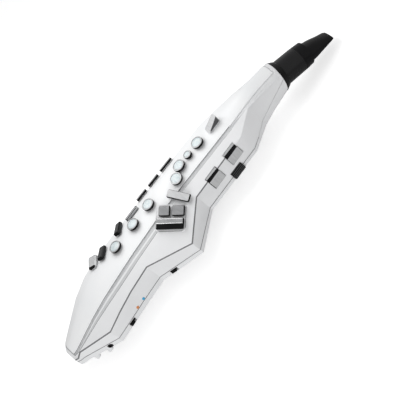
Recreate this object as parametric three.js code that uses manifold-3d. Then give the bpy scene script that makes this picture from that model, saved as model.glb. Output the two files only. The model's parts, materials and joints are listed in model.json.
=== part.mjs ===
// Digital wind controller: a moulded body with a saxophone key layout, blown through a beak mouthpiece.
// Millimetres. +Y runs from the bell end to the mouthpiece, +X is to the right as the front is seen,
// and +Z comes out of the front face, so the instrument lies on its back.

import * as THREE from 'three'
import { mergeVertices } from 'three/addons/utils/BufferGeometryUtils.js'
import Module from 'manifold-3d'

const wasm = await Module()
wasm.setup()

// Overall body
const bodyLength = 478
const leftReach = 39.5
const rightReach = 80
const bodyDepth = 60
const upperDepthShare = 0.95
const upperStartShare = 0.58
const wallThickness = 2.4
const sideDraft = 4
const backBevel = 7
const shoulderRound = 5
const frontSlope = 0.41
const panelCrown = 4
const panelHalfWidth = 21
const wingReach = rightReach - panelHalfWidth
const overrun = 12

// Clearances
const seatGap = 0.3
const slideGap = 0.4
const seamGap = 0.5

// Parting line between the shells
const rearDepth = 17
const seamDepth = bodyDepth - rearDepth
const bellFallShare = 0.8372
const bellReach = seamDepth * bellFallShare
const seamLift = 15
const lipHeight = 2.5
const lipWidth = 1

// Neck and mouthpiece
const neckRadius = 24
const neckRise = 6.4
const neckDepth = seamDepth - neckRise
const neckLean = 0.285
const neckWall = 3.4
const neckBore = 13
const collarHeight = 6
const collarEdge = 1.2
const barrelRadius = 19.2
const barrelLength = 36
const barrelTaper = 0.5
const barrelRing = 0.6
const coneLength = 14
const beakRadius = 16.4
const beakLength = 43
const beakStep = 2
const beakBoreShare = 0.28
const airwayRadius = 4
const tenonRadius = 11
const tenonLength = 16
const reedWidth = 13
const reedThickness = 1.6
const reedLength = 34
const reedTipThickness = 0.9
const reedTaperShare = 0.55
const reedBedDepth = 1.6
const airWindowWidth = 9
const airWindowTip = 0.6

// Front panel
const panelThickness = 1.3
const panelProud = 0.5
const panelGroove = 1.3
const panelWideGroove = 4.4
const panelFootY = 6
const panelTopY = bodyLength - panelFootY

// Key mechanism shared by all keys
const keyTravel = 1.5
const keyLift = panelProud + keyTravel + seatGap
const flangeThickness = 1.2
const flangeOverlap = 1.3

// Round finger keys
const pearlKeyShare = 0.01925
const bisKeyShare = 0.0134
const pearlKeyRadius = bodyLength * pearlKeyShare
const bisKeyRadius = bodyLength * bisKeyShare
const roundKeyHeight = 7.6
const roundStemRadius = 3.5
const rimWidth = 2
const rimChamfer = 0.9
const pearlDepth = 1.6
const pearlDome = 0.6
const pearlFlatShare = 0.6

// Key rows from the bell end to the neck, as shares of the body's length
const keyRowShares = {
  sixth: 0.3285,
  fifth: 0.41,
  fourth: 0.4812,
  third: 0.5891,
  second: 0.6234,
  bis: 0.6632,
  first: 0.7071,
  front: 0.7741,
}
const rowAt = (share) => share * bodyLength
const frontKeyY = rowAt(keyRowShares.front)
const firstKeyY = rowAt(keyRowShares.first)
const bisKeyY = rowAt(keyRowShares.bis)
const secondKeyY = rowAt(keyRowShares.second)
const thirdKeyY = rowAt(keyRowShares.third)
const fourthKeyY = rowAt(keyRowShares.fourth)
const fifthKeyY = rowAt(keyRowShares.fifth)
const sixthKeyY = rowAt(keyRowShares.sixth)
const thirdKeyShift = 9.7

// Front F key, a wedge
const wedgeShare = 0.0492
const wedgeLength = bodyLength * wedgeShare
const wedgeLowWidth = 12.5
const wedgeHighWidth = 10.3
const wedgeLowHeight = 3.5
const wedgeHighHeight = 13
const wedgeCorner = 3.4

// Left side keys
const barWidth = 6.4
const barHeight = 5.5
const darkKeyHeight = 7.5
const barCornerShare = 0.2
const barBevelShare = 0.14
const barStemShare = 0.35
const barX = -33
const barPlaceShares = [0.6025, 0.5439, 0.4895]
const barLengthShares = [0.0502, 0.0439, 0.0418]
const slimKeyX = -20.5
const slimPlaceShare = 0.431
const slimLengthShare = 0.0502
const slimKeyY = bodyLength * slimPlaceShare
const slimKeyLength = bodyLength * slimLengthShare
const slimKeyWidth = 8
const darkKeyX = -22.8
const darkPlaceShare = 0.3713
const darkKeyY = bodyLength * darkPlaceShare
const darkKeyReach = 24
const darkKeyWidth = 10.5
const darkKeyTurn = -0.56
const pinkyTurn = -0.7
const pinkyHighX = -18.2
const pinkyHighShare = 0.2883
const pinkyHighY = bodyLength * pinkyHighShare
const pinkyHighReach = 23
const pinkyHighWidth = 11
const pinkyHighHeight = 7.5
const pinkyLowX = -23
const pinkyLowShare = 0.251
const pinkyLowY = bodyLength * pinkyLowShare
const pinkyLowReach = 20
const pinkyLowWidth = 15
const pinkyLowHeight = 11.5

// Table keys on the wing, laid out on a turned pad that fits the wing's reach and its length
const wingLengthShare = 0.1234
const wingRoom = Math.min(wingReach, bodyLength * wingLengthShare)
const tableTurn = 0.67
const tablePadXShare = 0.261
const tablePadYShare = 0.4927
const tablePadX = panelHalfWidth + wingReach * tablePadXShare
const tablePadY = bodyLength * tablePadYShare
const tablePadLengthShare = 0.729
const tablePadWidthShare = 0.644
const tablePadLength = wingRoom * tablePadLengthShare
const tablePadWidth = wingRoom * tablePadWidthShare
const tablePadHeight = 1.6
const tablePadBite = 1.5
const tablePadCorner = 5
const tablePadRim = 1.5
const tableKeyGap = 2.6
const tableSmallShift = 1.8
const tableKeyLift = 3.5
const tableKeyHeight = 7
const tableSmallShares = [0.441, 0.489]
const tableSmallWidthShare = 0.395
const tableLongWidthShare = 0.408
const tableLongLength = tablePadLength - 2 * tablePadRim
const tableLongWidth = tablePadWidth * tableLongWidthShare
const tableSmallWidth = tablePadWidth * tableSmallWidthShare
const tableKeyCorner = 2
const tableKeyBevel = 1.1
const tableBigTurn = 0.42
const tableBigShares = { left: 0.159, up: 0.508, length: 0.576, width: 0.2 }
const tableBigX = tablePadX - wingRoom * tableBigShares.left
const tableBigY = tablePadY + wingRoom * tableBigShares.up
const tableBigLength = wingRoom * tableBigShares.length
const tableBigWidth = wingRoom * tableBigShares.width

// Palm keys on the right edge
const palmPlaceShares = [0.6611, 0.7448]
const palmLength = 22
const palmTopWidth = 4.5
const palmProud = 1.4
const palmChamfer = 3.6
const palmGap = 1
const palmEdgeDepth = 14
const palmRollerGap = 5

// Volume roller on the right side
const rollerPlaceShare = 0.7176
const rollerDrop = 2
const rollerY = bodyLength * rollerPlaceShare
const rollerDepth = seamDepth + rollerDrop
const rollerRadius = 8
const palmSideHeight = rollerDepth - rollerRadius - palmEdgeDepth - palmRollerGap
const rollerLength = 21
const rollerProud = 3.6
const rollerRibs = 20
const rollerRibDepth = 0.6
const rollerAxleRadius = 1.6
const rollerAxleLength = 2.6
const rollerBracket = 2.4
const rollerBracketWidth = 8

// Switches and socket on the right side
const powerSwitchShare = 0.1904
const sideSwitchShare = 0.3787
const switchDrop = 5.5
const knobLength = 7.5
const knobHeight = 6
const knobProud = 1.2
const switchTravel = 3
const slotMargin = 0.6
const jackPlaceShare = 0.0983
const jackDrop = 6
const jackRadius = 4.2
const jackBore = 1.9
const jackBoreDepth = 10
const jackLength = 14
const jackRim = 0.8

// Feet and fittings on the back
const ribPlaceShares = [0.0481, 0.0879]
const ribWidth = 8
const ribHeight = 4
const ribInset = 2
const hookRoom = 28
const hookReach = 22
const hookWidth = 20
const hookLength = 27
const hookThickness = 4
const hookTravel = 5
const hookStemWidth = 6
const hookStemLength = 8
const hookTaperShare = 0.7
const thumbRestShare = 0.6444
const thumbRestY = bodyLength * thumbRestShare
const thumbRestRadius = 11
const thumbRestHeight = 3
const thumbRestEdge = 1
const thumbRestFlatShare = 0.7
const thumbRestDish = 1.2
const octaveKeyLength = 15
const octaveKeyWidth = 20
const octaveKeyHeight = 6
const octaveKeyGap = 2
const octaveCornerShare = 0.3
const octaveBevelShare = 0.1
const strapPlaceShare = 0.465
const strapRingRadius = 8
const strapRingWire = 1.2
const strapLugHeight = 4.5
const strapLugWidth = 3.4
const displayShare = 0.8452
const displayY = bodyLength * displayShare
const displayLength = 13
const displayWidth = 26
const displayThickness = 1.3
const displayCorner = 2
const menuButtonShare = 0.8033
const menuButtonY = bodyLength * menuButtonShare
const menuButtonRadius = 2.8
const menuButtonHeight = 4.6
const menuButtonPitch = 12
const menuStemRadius = 1.6

// Battery bay and cover
const cellRadius = 7.25
const cellLength = 50.5
const cellColumns = 3
const cellRows = 2
const cellPitchGap = 0.7
const cradleFloor = 1.6
const cradleBite = 0.4
const bayWall = 1.6
const bayX = 8
const bayEndRoom = 9
const speakerGap = 3
const coverThickness = 2.4
const hingePinRadius = 0.7
const hingePinReach = 1.5
const notchRadius = 8
const notchDepth = 1.4

// Electronics
const boardThickness = 1.6
const boardHalfWidth = 16
const sheetDepth = 8.6
const sheetThickness = 1.2
const sheetHalfWidth = 14
const domeRadius = 2.4
const domeHeight = 0.9
const domeGap = 0.6
const keyBoardFoot = 11
const keyBoardHead = 14
const keyBoardStart = sixthKeyY - keyBoardFoot
const keyBoardEnd = frontKeyY + keyBoardHead
const mainBoardRise = 4
const mainBoardDepth = seamDepth - mainBoardRise
const mainBoardRoom = 12
const mainBoardNeckRoom = 33
const mainBoardEnd = bodyLength - mainBoardNeckRoom
const boardPostRadius = 2.6
const boardPinRadius = 1.2
const boardPostInset = 2.6
const boardPostShare = 0.1
const sensorWidth = 12
const sensorLength = 10
const sensorHeight = 18.7
const breathTubeRadius = 3
const breathTubeBore = 1.6
const speakerRadiusShare = 0.22
const speakerPitchShare = 0.5
const speakerRoom = 21
const speakerRadius = wingReach * speakerRadiusShare
const speakerPitch = wingReach * speakerPitchShare
const speakerY = bodyLength * ribPlaceShares[1] + speakerRoom
const speakerDepth = 9
const grilleSlots = 5
const grilleSlotWidth = 2
const grillePitchShare = 0.32
const grillePitch = speakerRadius * grillePitchShare

// Case screws
const screwRadius = 1.5
const screwHeadRadius = 2.8
const screwHeadHeight = 1.8
const screwRecess = 1.5
const screwBossRadius = 4
const screwBite = 9
// Places as shares of the right reach and of the body's length
const screwPlaceShares = [
  [-0.325, 0.5167],
  [0.3, 0.8075],
  [0.75, 0.4477],
  [0.175, 0.068],
]

// Fineness of turned and rounded forms
const roundSegments = 16
const smallSegments = 10
const filletSegments = 2

// Finishes
const finish = (color, roughness, metalness = 0) =>
  new THREE.MeshStandardMaterial({ color, roughness, metalness })
const whiteShell = finish(0xf2f3f4, 0.32)
const pearlPanel = finish(0xf7f8fa, 0.2)
const chrome = finish(0xc8cacd, 0.12, 1)
const darkChrome = finish(0x3a3c3f, 0.18, 1)
const pearl = finish(0xdfe8ea, 0.15)
const blackPlastic = finish(0x101112, 0.4)
const blackRubber = finish(0x18191a, 0.75)
const boardGreen = finish(0x1f5c3a, 0.5)
const greyRubber = finish(0x9a9ca0, 0.8)
const steel = finish(0x9a9da1, 0.3, 1)
const cellSleeve = finish(0x3d4a52, 0.45)
const smokedLens = finish(0x1b1d20, 0.08)
const clearTube = finish(0xd8dcdc, 0.3)

// Solids from three.js geometry
function solid(geometry) {
  const bare = geometry.clone()
  bare.deleteAttribute('normal')
  bare.deleteAttribute('uv')
  const merged = mergeVertices(bare, 1e-4)
  const index = merged.index.array
  const faces = []
  for (let i = 0; i < index.length; i += 3) {
    const [a, b, c] = [index[i], index[i + 1], index[i + 2]]
    if (a !== b && b !== c && c !== a) faces.push(a, b, c)
  }
  return new wasm.Manifold(new wasm.Mesh({
    numProp: 3,
    vertProperties: new Float32Array(merged.attributes.position.array),
    triVerts: new Uint32Array(faces),
  }))
}

function geometryOf(body) {
  const { vertProperties, triVerts } = body.getMesh()
  const geometry = new THREE.BufferGeometry()
  geometry.setAttribute('position', new THREE.BufferAttribute(new Float32Array(vertProperties), 3))
  geometry.setIndex(new THREE.BufferAttribute(new Uint32Array(triVerts), 1))
  geometry.computeVertexNormals()
  return geometry
}

const union = (bodies) => bodies.reduce((sum, body) => sum.add(body))
const cut = (body, tools) => tools.reduce((rest, tool) => rest.subtract(tool), body)
const moved = (geometry, x, y, z) => geometry.clone().translate(x, y, z)

function box(sizeX, sizeY, sizeZ, x = 0, y = 0, z = 0) {
  return moved(new THREE.BoxGeometry(sizeX, sizeY, sizeZ), x, y, z)
}

// A cylinder along Z, from its lower end
function rod(radius, length, segments = smallSegments) {
  return new THREE.CylinderGeometry(radius, radius, length, segments)
    .rotateX(Math.PI / 2)
    .translate(0, 0, length / 2)
}

// A turned form about Z from radius and height pairs
function turned(profile, segments = roundSegments) {
  const points = profile.map(([r, z]) => new THREE.Vector2(r, z))
  return new THREE.LatheGeometry(points, segments).rotateX(Math.PI / 2)
}

function roundedRectangle(length, width, corner) {
  const shape = new THREE.Shape()
  const [x, y] = [length / 2, width / 2]
  shape.moveTo(-x + corner, -y)
  shape.lineTo(x - corner, -y)
  shape.absarc(x - corner, -y + corner, corner, -Math.PI / 2, 0)
  shape.lineTo(x, y - corner)
  shape.absarc(x - corner, y - corner, corner, 0, Math.PI / 2)
  shape.lineTo(-x + corner, y)
  shape.absarc(-x + corner, y - corner, corner, Math.PI / 2, Math.PI)
  shape.lineTo(-x, -y + corner)
  shape.absarc(-x + corner, -y + corner, corner, Math.PI, Math.PI * 1.5)
  return shape
}

// A plate standing on z = bottom, with a bevelled top edge
function plate(shape, bottom, top, bevel = 0, curveSegments = filletSegments) {
  const settings = { depth: top - bottom - bevel, bevelEnabled: false, curveSegments }
  const straight = new THREE.ExtrudeGeometry(shape, settings).translate(0, 0, bottom)
  if (bevel === 0) return solid(straight)
  const crowned = new THREE.ExtrudeGeometry(shape, {
    depth: top - bottom - 2 * bevel,
    bevelEnabled: true,
    bevelThickness: bevel,
    bevelSize: bevel,
    bevelOffset: -bevel,
    bevelSegments: 1,
    curveSegments,
  }).translate(0, 0, bottom + bevel)
  return solid(straight).add(solid(crowned))
}

// Body sections: every row is one station along the body, as shares of the named sizes.
// along the length | left edge of leftReach | right edge of wingReach, past the panel |
// panel edge of its half width | fall of the front face of bellReach
const stationShares = [
  [0, 0.06, 0.061, 1.2, -0.92],
  [0.01, -0.13, 0.069, 1.33, -0.84],
  [0.028, -0.24, 0.0805, 1.45, -0.75],
  [0.134, -0.73, 0.5124, 1.57, -0.285],
  [0.195, -0.94, 0.4724, 1.53, -0.14],
  [0.26, -1.02, 0.433, 1.45, -0.065],
  [0.341, -1.01, 0.429, 1.29, -0.017],
  [0.474, -1, 0.9822, 1.05, 0],
  [0.584, -1, 0.4156, 1, 0],
  [0.76, -0.975, 0.3641, 1, 0],
  [0.797, -0.86, 0.3559, 1, 0],
  [0.874, -0.61, 0.0927, 0.93, 0],
  [0.93, -0.6, 0.1263, 0.75, -0.03],
  [1, -0.5, 0.1661, 0.6, -0.25],
]
const leftFlankShare = 0.306
const shoulderShare = 0.8
const crownShares = [0, 0.17, 0.34, 0.5, 0.66, 0.83, 1]
const neckStartShare = 0.874
const seamBendShare = 0.83
const neckAngles = [136, 126, 116, 107, 98, 80, 62, 38, 18, 0, -22, -58, -122, -158, 180, 168, 158]

const mix = (a, b, share) => a + (b - a) * share
const clamp01 = (value) => Math.min(1, Math.max(0, value))

// The stations on either side of a place along the body
function between(y) {
  const share = clamp01(y / bodyLength)
  const next = Math.max(1, stationShares.findIndex((row) => row[0] >= share))
  const [low, high] = [stationShares[next - 1][0], stationShares[next][0]]
  return { next, part: (share - low) / (high - low) }
}

function stationAt(y) {
  const share = clamp01(y / bodyLength)
  const { next, part } = between(y)
  const [low, high] = [stationShares[next - 1], stationShares[next]]
  const [, left, right, panel, fall] = low.map((value, i) => mix(value, high[i], part))
  return {
    left: left * leftReach,
    right: panel * panelHalfWidth + right * wingReach,
    panel: panel * panelHalfWidth,
    front: fall * bellReach,
    neck: clamp01((share - neckStartShare) / (1 - neckStartShare)),
    back: -bodyDepth * mix(1, upperDepthShare, clamp01((share / upperStartShare - 0.7) / 0.3)),
  }
}

const seamAt = (y) =>
  -seamDepth + seamLift * clamp01((y / bodyLength - seamBendShare) / (1 - seamBendShare))

function neckPoint(degrees) {
  const angle = THREE.MathUtils.degToRad(degrees)
  return [neckRadius * Math.cos(angle), -neckDepth + neckRadius * Math.sin(angle)]
}

// One station as a closed ring of x and z pairs, clockwise from the left panel edge
function stationRing(y) {
  const s = stationAt(y)
  const leftPanel = mix(s.left, s.panel, leftFlankShare)
  const edge = s.front - panelCrown
  const leftEdge = edge - (leftPanel - s.left) * frontSlope
  const rightEdge = edge - (s.right - s.panel) * frontSlope
  const seam = seamAt(y)
  const round = shoulderRound
  const front = crownShares.map((share) => [
    mix(leftPanel, s.panel, share),
    s.front - panelCrown * (2 * share - 1) ** 2,
  ])
  const right = [
    [s.right, rightEdge],
    [s.right + sideDraft * shoulderShare, Math.min(seam + round, rightEdge)],
    [s.right + sideDraft, seam],
    [s.right + sideDraft, s.back + backBevel],
    [s.right + sideDraft - backBevel, s.back],
  ]
  const sides = [
    [s.left - sideDraft + backBevel, s.back],
    [s.left - sideDraft, s.back + backBevel],
  ]
  const shoulder = [
    [s.left - sideDraft, seam],
    [s.left, leftEdge - round],
    [s.left + round * shoulderShare, leftEdge + round * (1 - shoulderShare)],
  ]
  return [...front, ...right, ...sides, ...shoulder].map((point, i) => {
    const target = neckPoint(neckAngles[i])
    return [mix(point[0], target[0], s.neck), mix(point[1], target[1], s.neck)]
  })
}
const stationRings = stationShares.map((row) => stationRing(row[0] * bodyLength))

// The skin runs straight from station to station
function sectionAt(y) {
  const { next, part } = between(y)
  const [low, high] = [stationRings[next - 1], stationRings[next]]
  return low.map(([x, z], i) => [mix(x, high[i][0], part), mix(z, high[i][1], part)])
}
const backCorner = 11
const backAt = (y) => sectionAt(y)[backCorner][1]

// A ring moved inwards by an even wall
function insetRing(ring, wall) {
  const count = ring.length
  const edges = ring.map((point, i) => {
    const next = ring[(i + 1) % count]
    const length = Math.hypot(next[0] - point[0], next[1] - point[1]) || 1
    const direction = [(next[0] - point[0]) / length, (next[1] - point[1]) / length]
    const inward = [direction[1], -direction[0]]
    return { at: [point[0] + inward[0] * wall, point[1] + inward[1] * wall], direction }
  })
  return ring.map((point, i) => {
    const [one, two] = [edges[(i + count - 1) % count], edges[i]]
    const cross = one.direction[0] * two.direction[1] - one.direction[1] * two.direction[0]
    if (Math.abs(cross) < 1e-3) return two.at
    const [dx, dz] = [two.at[0] - one.at[0], two.at[1] - one.at[1]]
    const reach = (dx * two.direction[1] - dz * two.direction[0]) / cross
    return [one.at[0] + one.direction[0] * reach, one.at[1] + one.direction[1] * reach]
  })
}

// Ends of a skin: any outline, or a strip whose lower points mirror its upper ones
const outlineFaces = (flat) => THREE.ShapeUtils.triangulateShape(flat, [])
function stripFaces(flat) {
  const last = flat.length - 1
  const faces = []
  for (let i = 0; 2 * i < last - 1; i += 1) {
    faces.push([i, i + 1, last - i], [i + 1, last - i - 1, last - i])
  }
  return faces
}

// A closed skin through rings of equal count, with flat ends; every ring runs clockwise
function loft(rings, endFaces = outlineFaces) {
  const count = rings[0].points.length
  const positions = rings.flatMap(({ y, points, lean = 0 }) =>
    points.flatMap(([x, z]) => [x, y + (z + neckDepth) * lean, z]))
  const index = []
  for (let ring = 0; ring < rings.length - 1; ring += 1) {
    for (let i = 0; i < count; i += 1) {
      const a = ring * count + i
      const b = ring * count + (i + 1) % count
      index.push(a, b, a + count, b, b + count, a + count)
    }
  }
  const last = (rings.length - 1) * count
  const capOf = (points) => {
    const flat = points.map(([x, z]) => new THREE.Vector2(x, z))
    return endFaces(flat).map(([a, b, c]) =>
      (THREE.ShapeUtils.area([flat[a], flat[b], flat[c]]) > 0 ? [a, b, c] : [a, c, b]))
  }
  for (const [a, b, c] of capOf(rings[0].points)) index.push(a, b, c)
  for (const [a, b, c] of capOf(rings.at(-1).points)) index.push(last + a, last + c, last + b)
  const geometry = new THREE.BufferGeometry()
  geometry.setAttribute('position', new THREE.Float32BufferAttribute(positions, 3))
  geometry.setIndex(index)
  return solid(geometry)
}

const leanAt = (y) => neckLean * stationAt(y).neck

// The body's skin moved inwards by a wall, between two places along its length
function bodyCore(wall, start, end) {
  const inner = stationShares.map((row) => row[0] * bodyLength).filter((y) => y > start && y < end)
  return loft([start, ...inner, end].map((y) => ({
    y,
    points: wall === 0 ? sectionAt(y) : insetRing(sectionAt(y), wall),
    lean: leanAt(y),
  })))
}

// A side-view outline of y and z pairs, extruded across the body
function across(points, from, to) {
  const shape = new THREE.Shape(points.map(([y, z]) => new THREE.Vector2(y, z)))
  const geometry = new THREE.ExtrudeGeometry(shape, { depth: to - from, bevelEnabled: false })
  const basis = new THREE.Matrix4().makeBasis(
    new THREE.Vector3(0, 1, 0), new THREE.Vector3(0, 0, 1), new THREE.Vector3(1, 0, 0))
  return solid(geometry.applyMatrix4(basis).translate(from, 0, 0))
}

const seamBend = bodyLength * seamBendShare
const aboveSeam = (shift) => across([
  [-overrun, seamAt(0) + shift],
  [seamBend, seamAt(seamBend) + shift],
  [bodyLength, seamAt(bodyLength) + shift],
  [bodyLength + overrun, seamAt(bodyLength) + shift],
  [bodyLength + overrun, overrun],
  [-overrun, overrun],
], -bodyLength / 2, bodyLength / 2)

// Height of the front face, and a frame that stands on it
function frontHeight(x, y) {
  const ring = sectionAt(y)
  const line = [ring.at(-1), ...ring.slice(0, crownShares.length + 1)]
  const next = Math.max(1, line.findIndex((point) => point[0] >= x))
  const [a, b] = [line[next - 1], line[next]]
  return mix(a[1], b[1], (x - a[0]) / (b[0] - a[0]))
}

function frameOf(origin, axisX, axisY, axisZ) {
  return new THREE.Matrix4().makeBasis(axisX, axisY, axisZ).setPosition(origin)
}

function frontFrame(x, y, turn = 0, reach = roundStemRadius) {
  const slopeX = (frontHeight(x + reach, y) - frontHeight(x - reach, y)) / (2 * reach)
  const slopeY = (frontHeight(x, y + reach) - frontHeight(x, y - reach)) / (2 * reach)
  const normal = new THREE.Vector3(-slopeX, -slopeY, 1).normalize()
  const alongX = new THREE.Vector3(1, 0, slopeX).normalize()
  const alongY = new THREE.Vector3().crossVectors(normal, alongX).normalize()
  const frame = frameOf(new THREE.Vector3(x, y, frontHeight(x, y)), alongX, alongY, normal)
  return frame.multiply(new THREE.Matrix4().makeRotationZ(turn))
}

// A frame on the side wall below the seam; its Z points out of the wall and its Y runs along it
function sideFrame(y, z, side = 1) {
  const wall = (at) => (side > 0 ? stationAt(at).right + sideDraft : stationAt(at).left - sideDraft)
  const tangent = new THREE.Vector3(wall(y + 1) - wall(y - 1), 2, 0).normalize()
  const normal = new THREE.Vector3(tangent.y, -tangent.x, 0).multiplyScalar(side)
  const alongX = new THREE.Vector3().crossVectors(tangent, normal)
  return frameOf(new THREE.Vector3(wall(y), y, z), alongX, tangent, normal)
}

// A frame on the back face, its Z pointing out of the back
function backFrame(x, y, reach = roundStemRadius) {
  const slope = (backAt(y + reach) - backAt(y - reach)) / (2 * reach)
  return frameOf(new THREE.Vector3(x, y, backAt(y)),
    new THREE.Vector3(-1, 0, 0),
    new THREE.Vector3(0, 1, slope).normalize(),
    new THREE.Vector3(0, slope, -1).normalize())
}

// Along the back: the speakers, the battery bay, the hook, and the main board over it
const cellPitch = 2 * cellRadius + cellPitchGap
const bayWidth = cellColumns * cellPitch
const bayLength = cellRows * cellLength + bayEndRoom
const coverWidth = bayWidth + 2 * bayWall
const coverLength = bayLength + 2 * bayWall
const bayY = speakerY + speakerRadius + speakerGap + coverLength / 2
const bayEnd = bayY + coverLength / 2
const mainBoardStart = bayEnd + mainBoardRoom

// The mouthpiece axis leans back out of the neck
const neckEnd = new THREE.Vector3(0, bodyLength, -neckDepth)
const neckFrame = frameOf(neckEnd,
  new THREE.Vector3(-1, 0, 0),
  new THREE.Vector3(0, neckLean, 1).normalize(),
  new THREE.Vector3(0, 1, -neckLean).normalize())

// The assembly
const model = new THREE.Group()
const frontCuts = []
const panelCuts = []
const rearCuts = []
const frontAdds = []
const rearAdds = []
const rearInside = []
const frontInside = []

const inFrame = (body, frame) => body.transform(frame.elements)

function place(name, body, material, frame = new THREE.Matrix4()) {
  const mesh = new THREE.Mesh(geometryOf(body), material)
  mesh.name = name
  mesh.applyMatrix4(frame)
  model.add(mesh)
}

// The rear wall is thicker, because its inner layer rises past the seam as a lip
const rearWall = wallThickness + seatGap + lipWidth

// Key stems hold the cap from inside the wall by a flange
const flangeTopOf = (wall) => -wall - seatGap - slideGap / 2
const flangeTop = flangeTopOf(wallThickness)
const flangeBottom = flangeTop - flangeThickness
const sheetTop = -sheetDepth

function blockStem(length, width, lift, wall = wallThickness) {
  const top = lift + seatGap
  const high = flangeTopOf(wall)
  const low = high - flangeThickness
  const stem = box(length, width, top - low, 0, 0, (top + low) / 2)
  const flange = box(length + 2 * flangeOverlap, width + 2 * flangeOverlap, flangeThickness,
    0, 0, (high + low) / 2)
  return solid(stem).add(solid(flange))
}

function stemWindow(length, width) {
  const size = [length + 2 * slideGap, width + 2 * slideGap, 2 * overrun]
  return solid(box(...size))
}

// Round finger key: a chromed cup with a pearl touch piece
function roundKey(name, x, y, radius) {
  const frame = frontFrame(x, y)
  const rim = roundKeyHeight
  const stemEnd = sheetTop + domeHeight + domeGap + keyTravel - frontHeight(x, y)
  const pocketRadius = radius - rimWidth
  const pocketFloor = rim - pearlDepth
  const cup = turned([
    [0, stemEnd],
    [roundStemRadius, stemEnd],
    [roundStemRadius, flangeBottom],
    [roundStemRadius + flangeOverlap, flangeBottom],
    [roundStemRadius + flangeOverlap, flangeTop],
    [roundStemRadius, flangeTop],
    [roundStemRadius, keyLift],
    [radius - rimChamfer, keyLift],
    [radius, keyLift + rimChamfer],
    [radius, rim - rimChamfer],
    [radius - rimChamfer, rim],
    [pocketRadius, rim],
    [pocketRadius, pocketFloor],
    [0, pocketFloor],
  ])
  const touch = turned([
    [0, pocketFloor + seatGap],
    [pocketRadius - seatGap, pocketFloor + seatGap],
    [pocketRadius - seatGap, rim - seatGap],
    [pocketRadius * pearlFlatShare, rim - seatGap + pearlDome],
    [0, rim - seatGap + pearlDome],
  ])
  place(`${name}_cap`, solid(cup), chrome, frame)
  place(`${name}_pearl`, solid(touch), pearl, frame)
  const bore = rod(roundStemRadius + slideGap, 2 * overrun).translate(0, 0, -overrun)
  const hole = inFrame(solid(bore), frame)
  frontCuts.push(hole)
  panelCuts.push(hole)
}

roundKey('key_1', 0, firstKeyY, pearlKeyRadius)
roundKey('key_bis', 0, bisKeyY, bisKeyRadius)
roundKey('key_2', 0, secondKeyY, pearlKeyRadius)
roundKey('key_3', thirdKeyShift, thirdKeyY, pearlKeyRadius)
roundKey('key_4', 0, fourthKeyY, pearlKeyRadius)
roundKey('key_5', 0, fifthKeyY, pearlKeyRadius)
roundKey('key_6', 0, sixthKeyY, pearlKeyRadius)

// Block keys share one stem form; the cap is whatever shape the key has
function blockKey(name, cap, stemLength, stemWidth, material, frame, lift = keyLift) {
  place(name, cap.add(blockStem(stemLength, stemWidth, lift)), material, frame)
  const window = inFrame(stemWindow(stemLength, stemWidth), frame)
  frontCuts.push(window)
  panelCuts.push(window)
}

// Front F key, rising and narrowing towards the mouthpiece
function wedgeCap() {
  const [low, high, end, r] = [wedgeLowWidth / 2, wedgeHighWidth / 2, wedgeLength / 2, wedgeCorner]
  const outline = new THREE.Shape()
  outline.moveTo(-low + r, -end)
  outline.lineTo(low - r, -end)
  outline.quadraticCurveTo(low, -end, low, -end + r)
  outline.lineTo(high, end - r)
  outline.quadraticCurveTo(high, end, high - r, end)
  outline.lineTo(-high + r, end)
  outline.quadraticCurveTo(-high, end, -high, end - r)
  outline.lineTo(-low, -end + r)
  outline.quadraticCurveTo(-low, -end, -low + r, -end)
  const side = across([
    [-end, keyLift],
    [end, keyLift],
    [end, wedgeHighHeight],
    [-end, wedgeLowHeight],
  ], -wedgeLowWidth, wedgeLowWidth)
  return side.intersect(plate(outline, 0, wedgeHighHeight + overrun))
}
blockKey('front_f_key', wedgeCap(), wedgeHighWidth / 2, wedgeLength / 2, chrome, frontFrame(0, frontKeyY))

// Left side keys and pinky keys; length runs across the key's frame, width along it
function barCap(length, width, height) {
  const narrow = Math.min(length, width)
  const outline = roundedRectangle(length, width, narrow * barCornerShare)
  return plate(outline, keyLift, height, narrow * barBevelShare)
}
function barKey(name, length, width, height, material, frame) {
  blockKey(name, barCap(length, width, height), length * barStemShare, width * barStemShare, material, frame)
}

barPlaceShares.forEach((share, i) => {
  const length = bodyLength * barLengthShares[i]
  barKey(`side_key_${i + 1}`, barWidth, length, barHeight, darkChrome,
    frontFrame(barX, bodyLength * share))
})
barKey('slim_key', slimKeyWidth, slimKeyLength, barHeight, chrome, frontFrame(slimKeyX, slimKeyY))
barKey('g_sharp_key', darkKeyReach, darkKeyWidth, darkKeyHeight, darkChrome,
  frontFrame(darkKeyX, darkKeyY, darkKeyTurn))
barKey('low_e_flat_key', pinkyHighReach, pinkyHighWidth, pinkyHighHeight, darkChrome,
  frontFrame(pinkyHighX, pinkyHighY, pinkyTurn))
barKey('low_c_key', pinkyLowReach, pinkyLowWidth, pinkyLowHeight, chrome,
  frontFrame(pinkyLowX, pinkyLowY, pinkyTurn))

// Table keys: two small ones and a long one on their pad, and a big one above it
const padFrame = frontFrame(tablePadX, tablePadY, tableTurn)
const padOutline = (margin) =>
  roundedRectangle(tablePadLength + 2 * margin, tablePadWidth + 2 * margin, tablePadCorner + margin)
frontAdds.push(inFrame(plate(padOutline(0), -tablePadBite, tablePadHeight, tablePadHeight / 3), padFrame))
panelCuts.push(inFrame(plate(padOutline(slideGap), -overrun, overrun), padFrame))

function tableKey(name, length, width, frame, material = chrome) {
  const outline = roundedRectangle(length, width, tableKeyCorner)
  const cap = plate(outline, tableKeyLift, tableKeyHeight, tableKeyBevel)
  blockKey(name, cap, length / 2, width / 2, material, frame, tableKeyLift)
}

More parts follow.
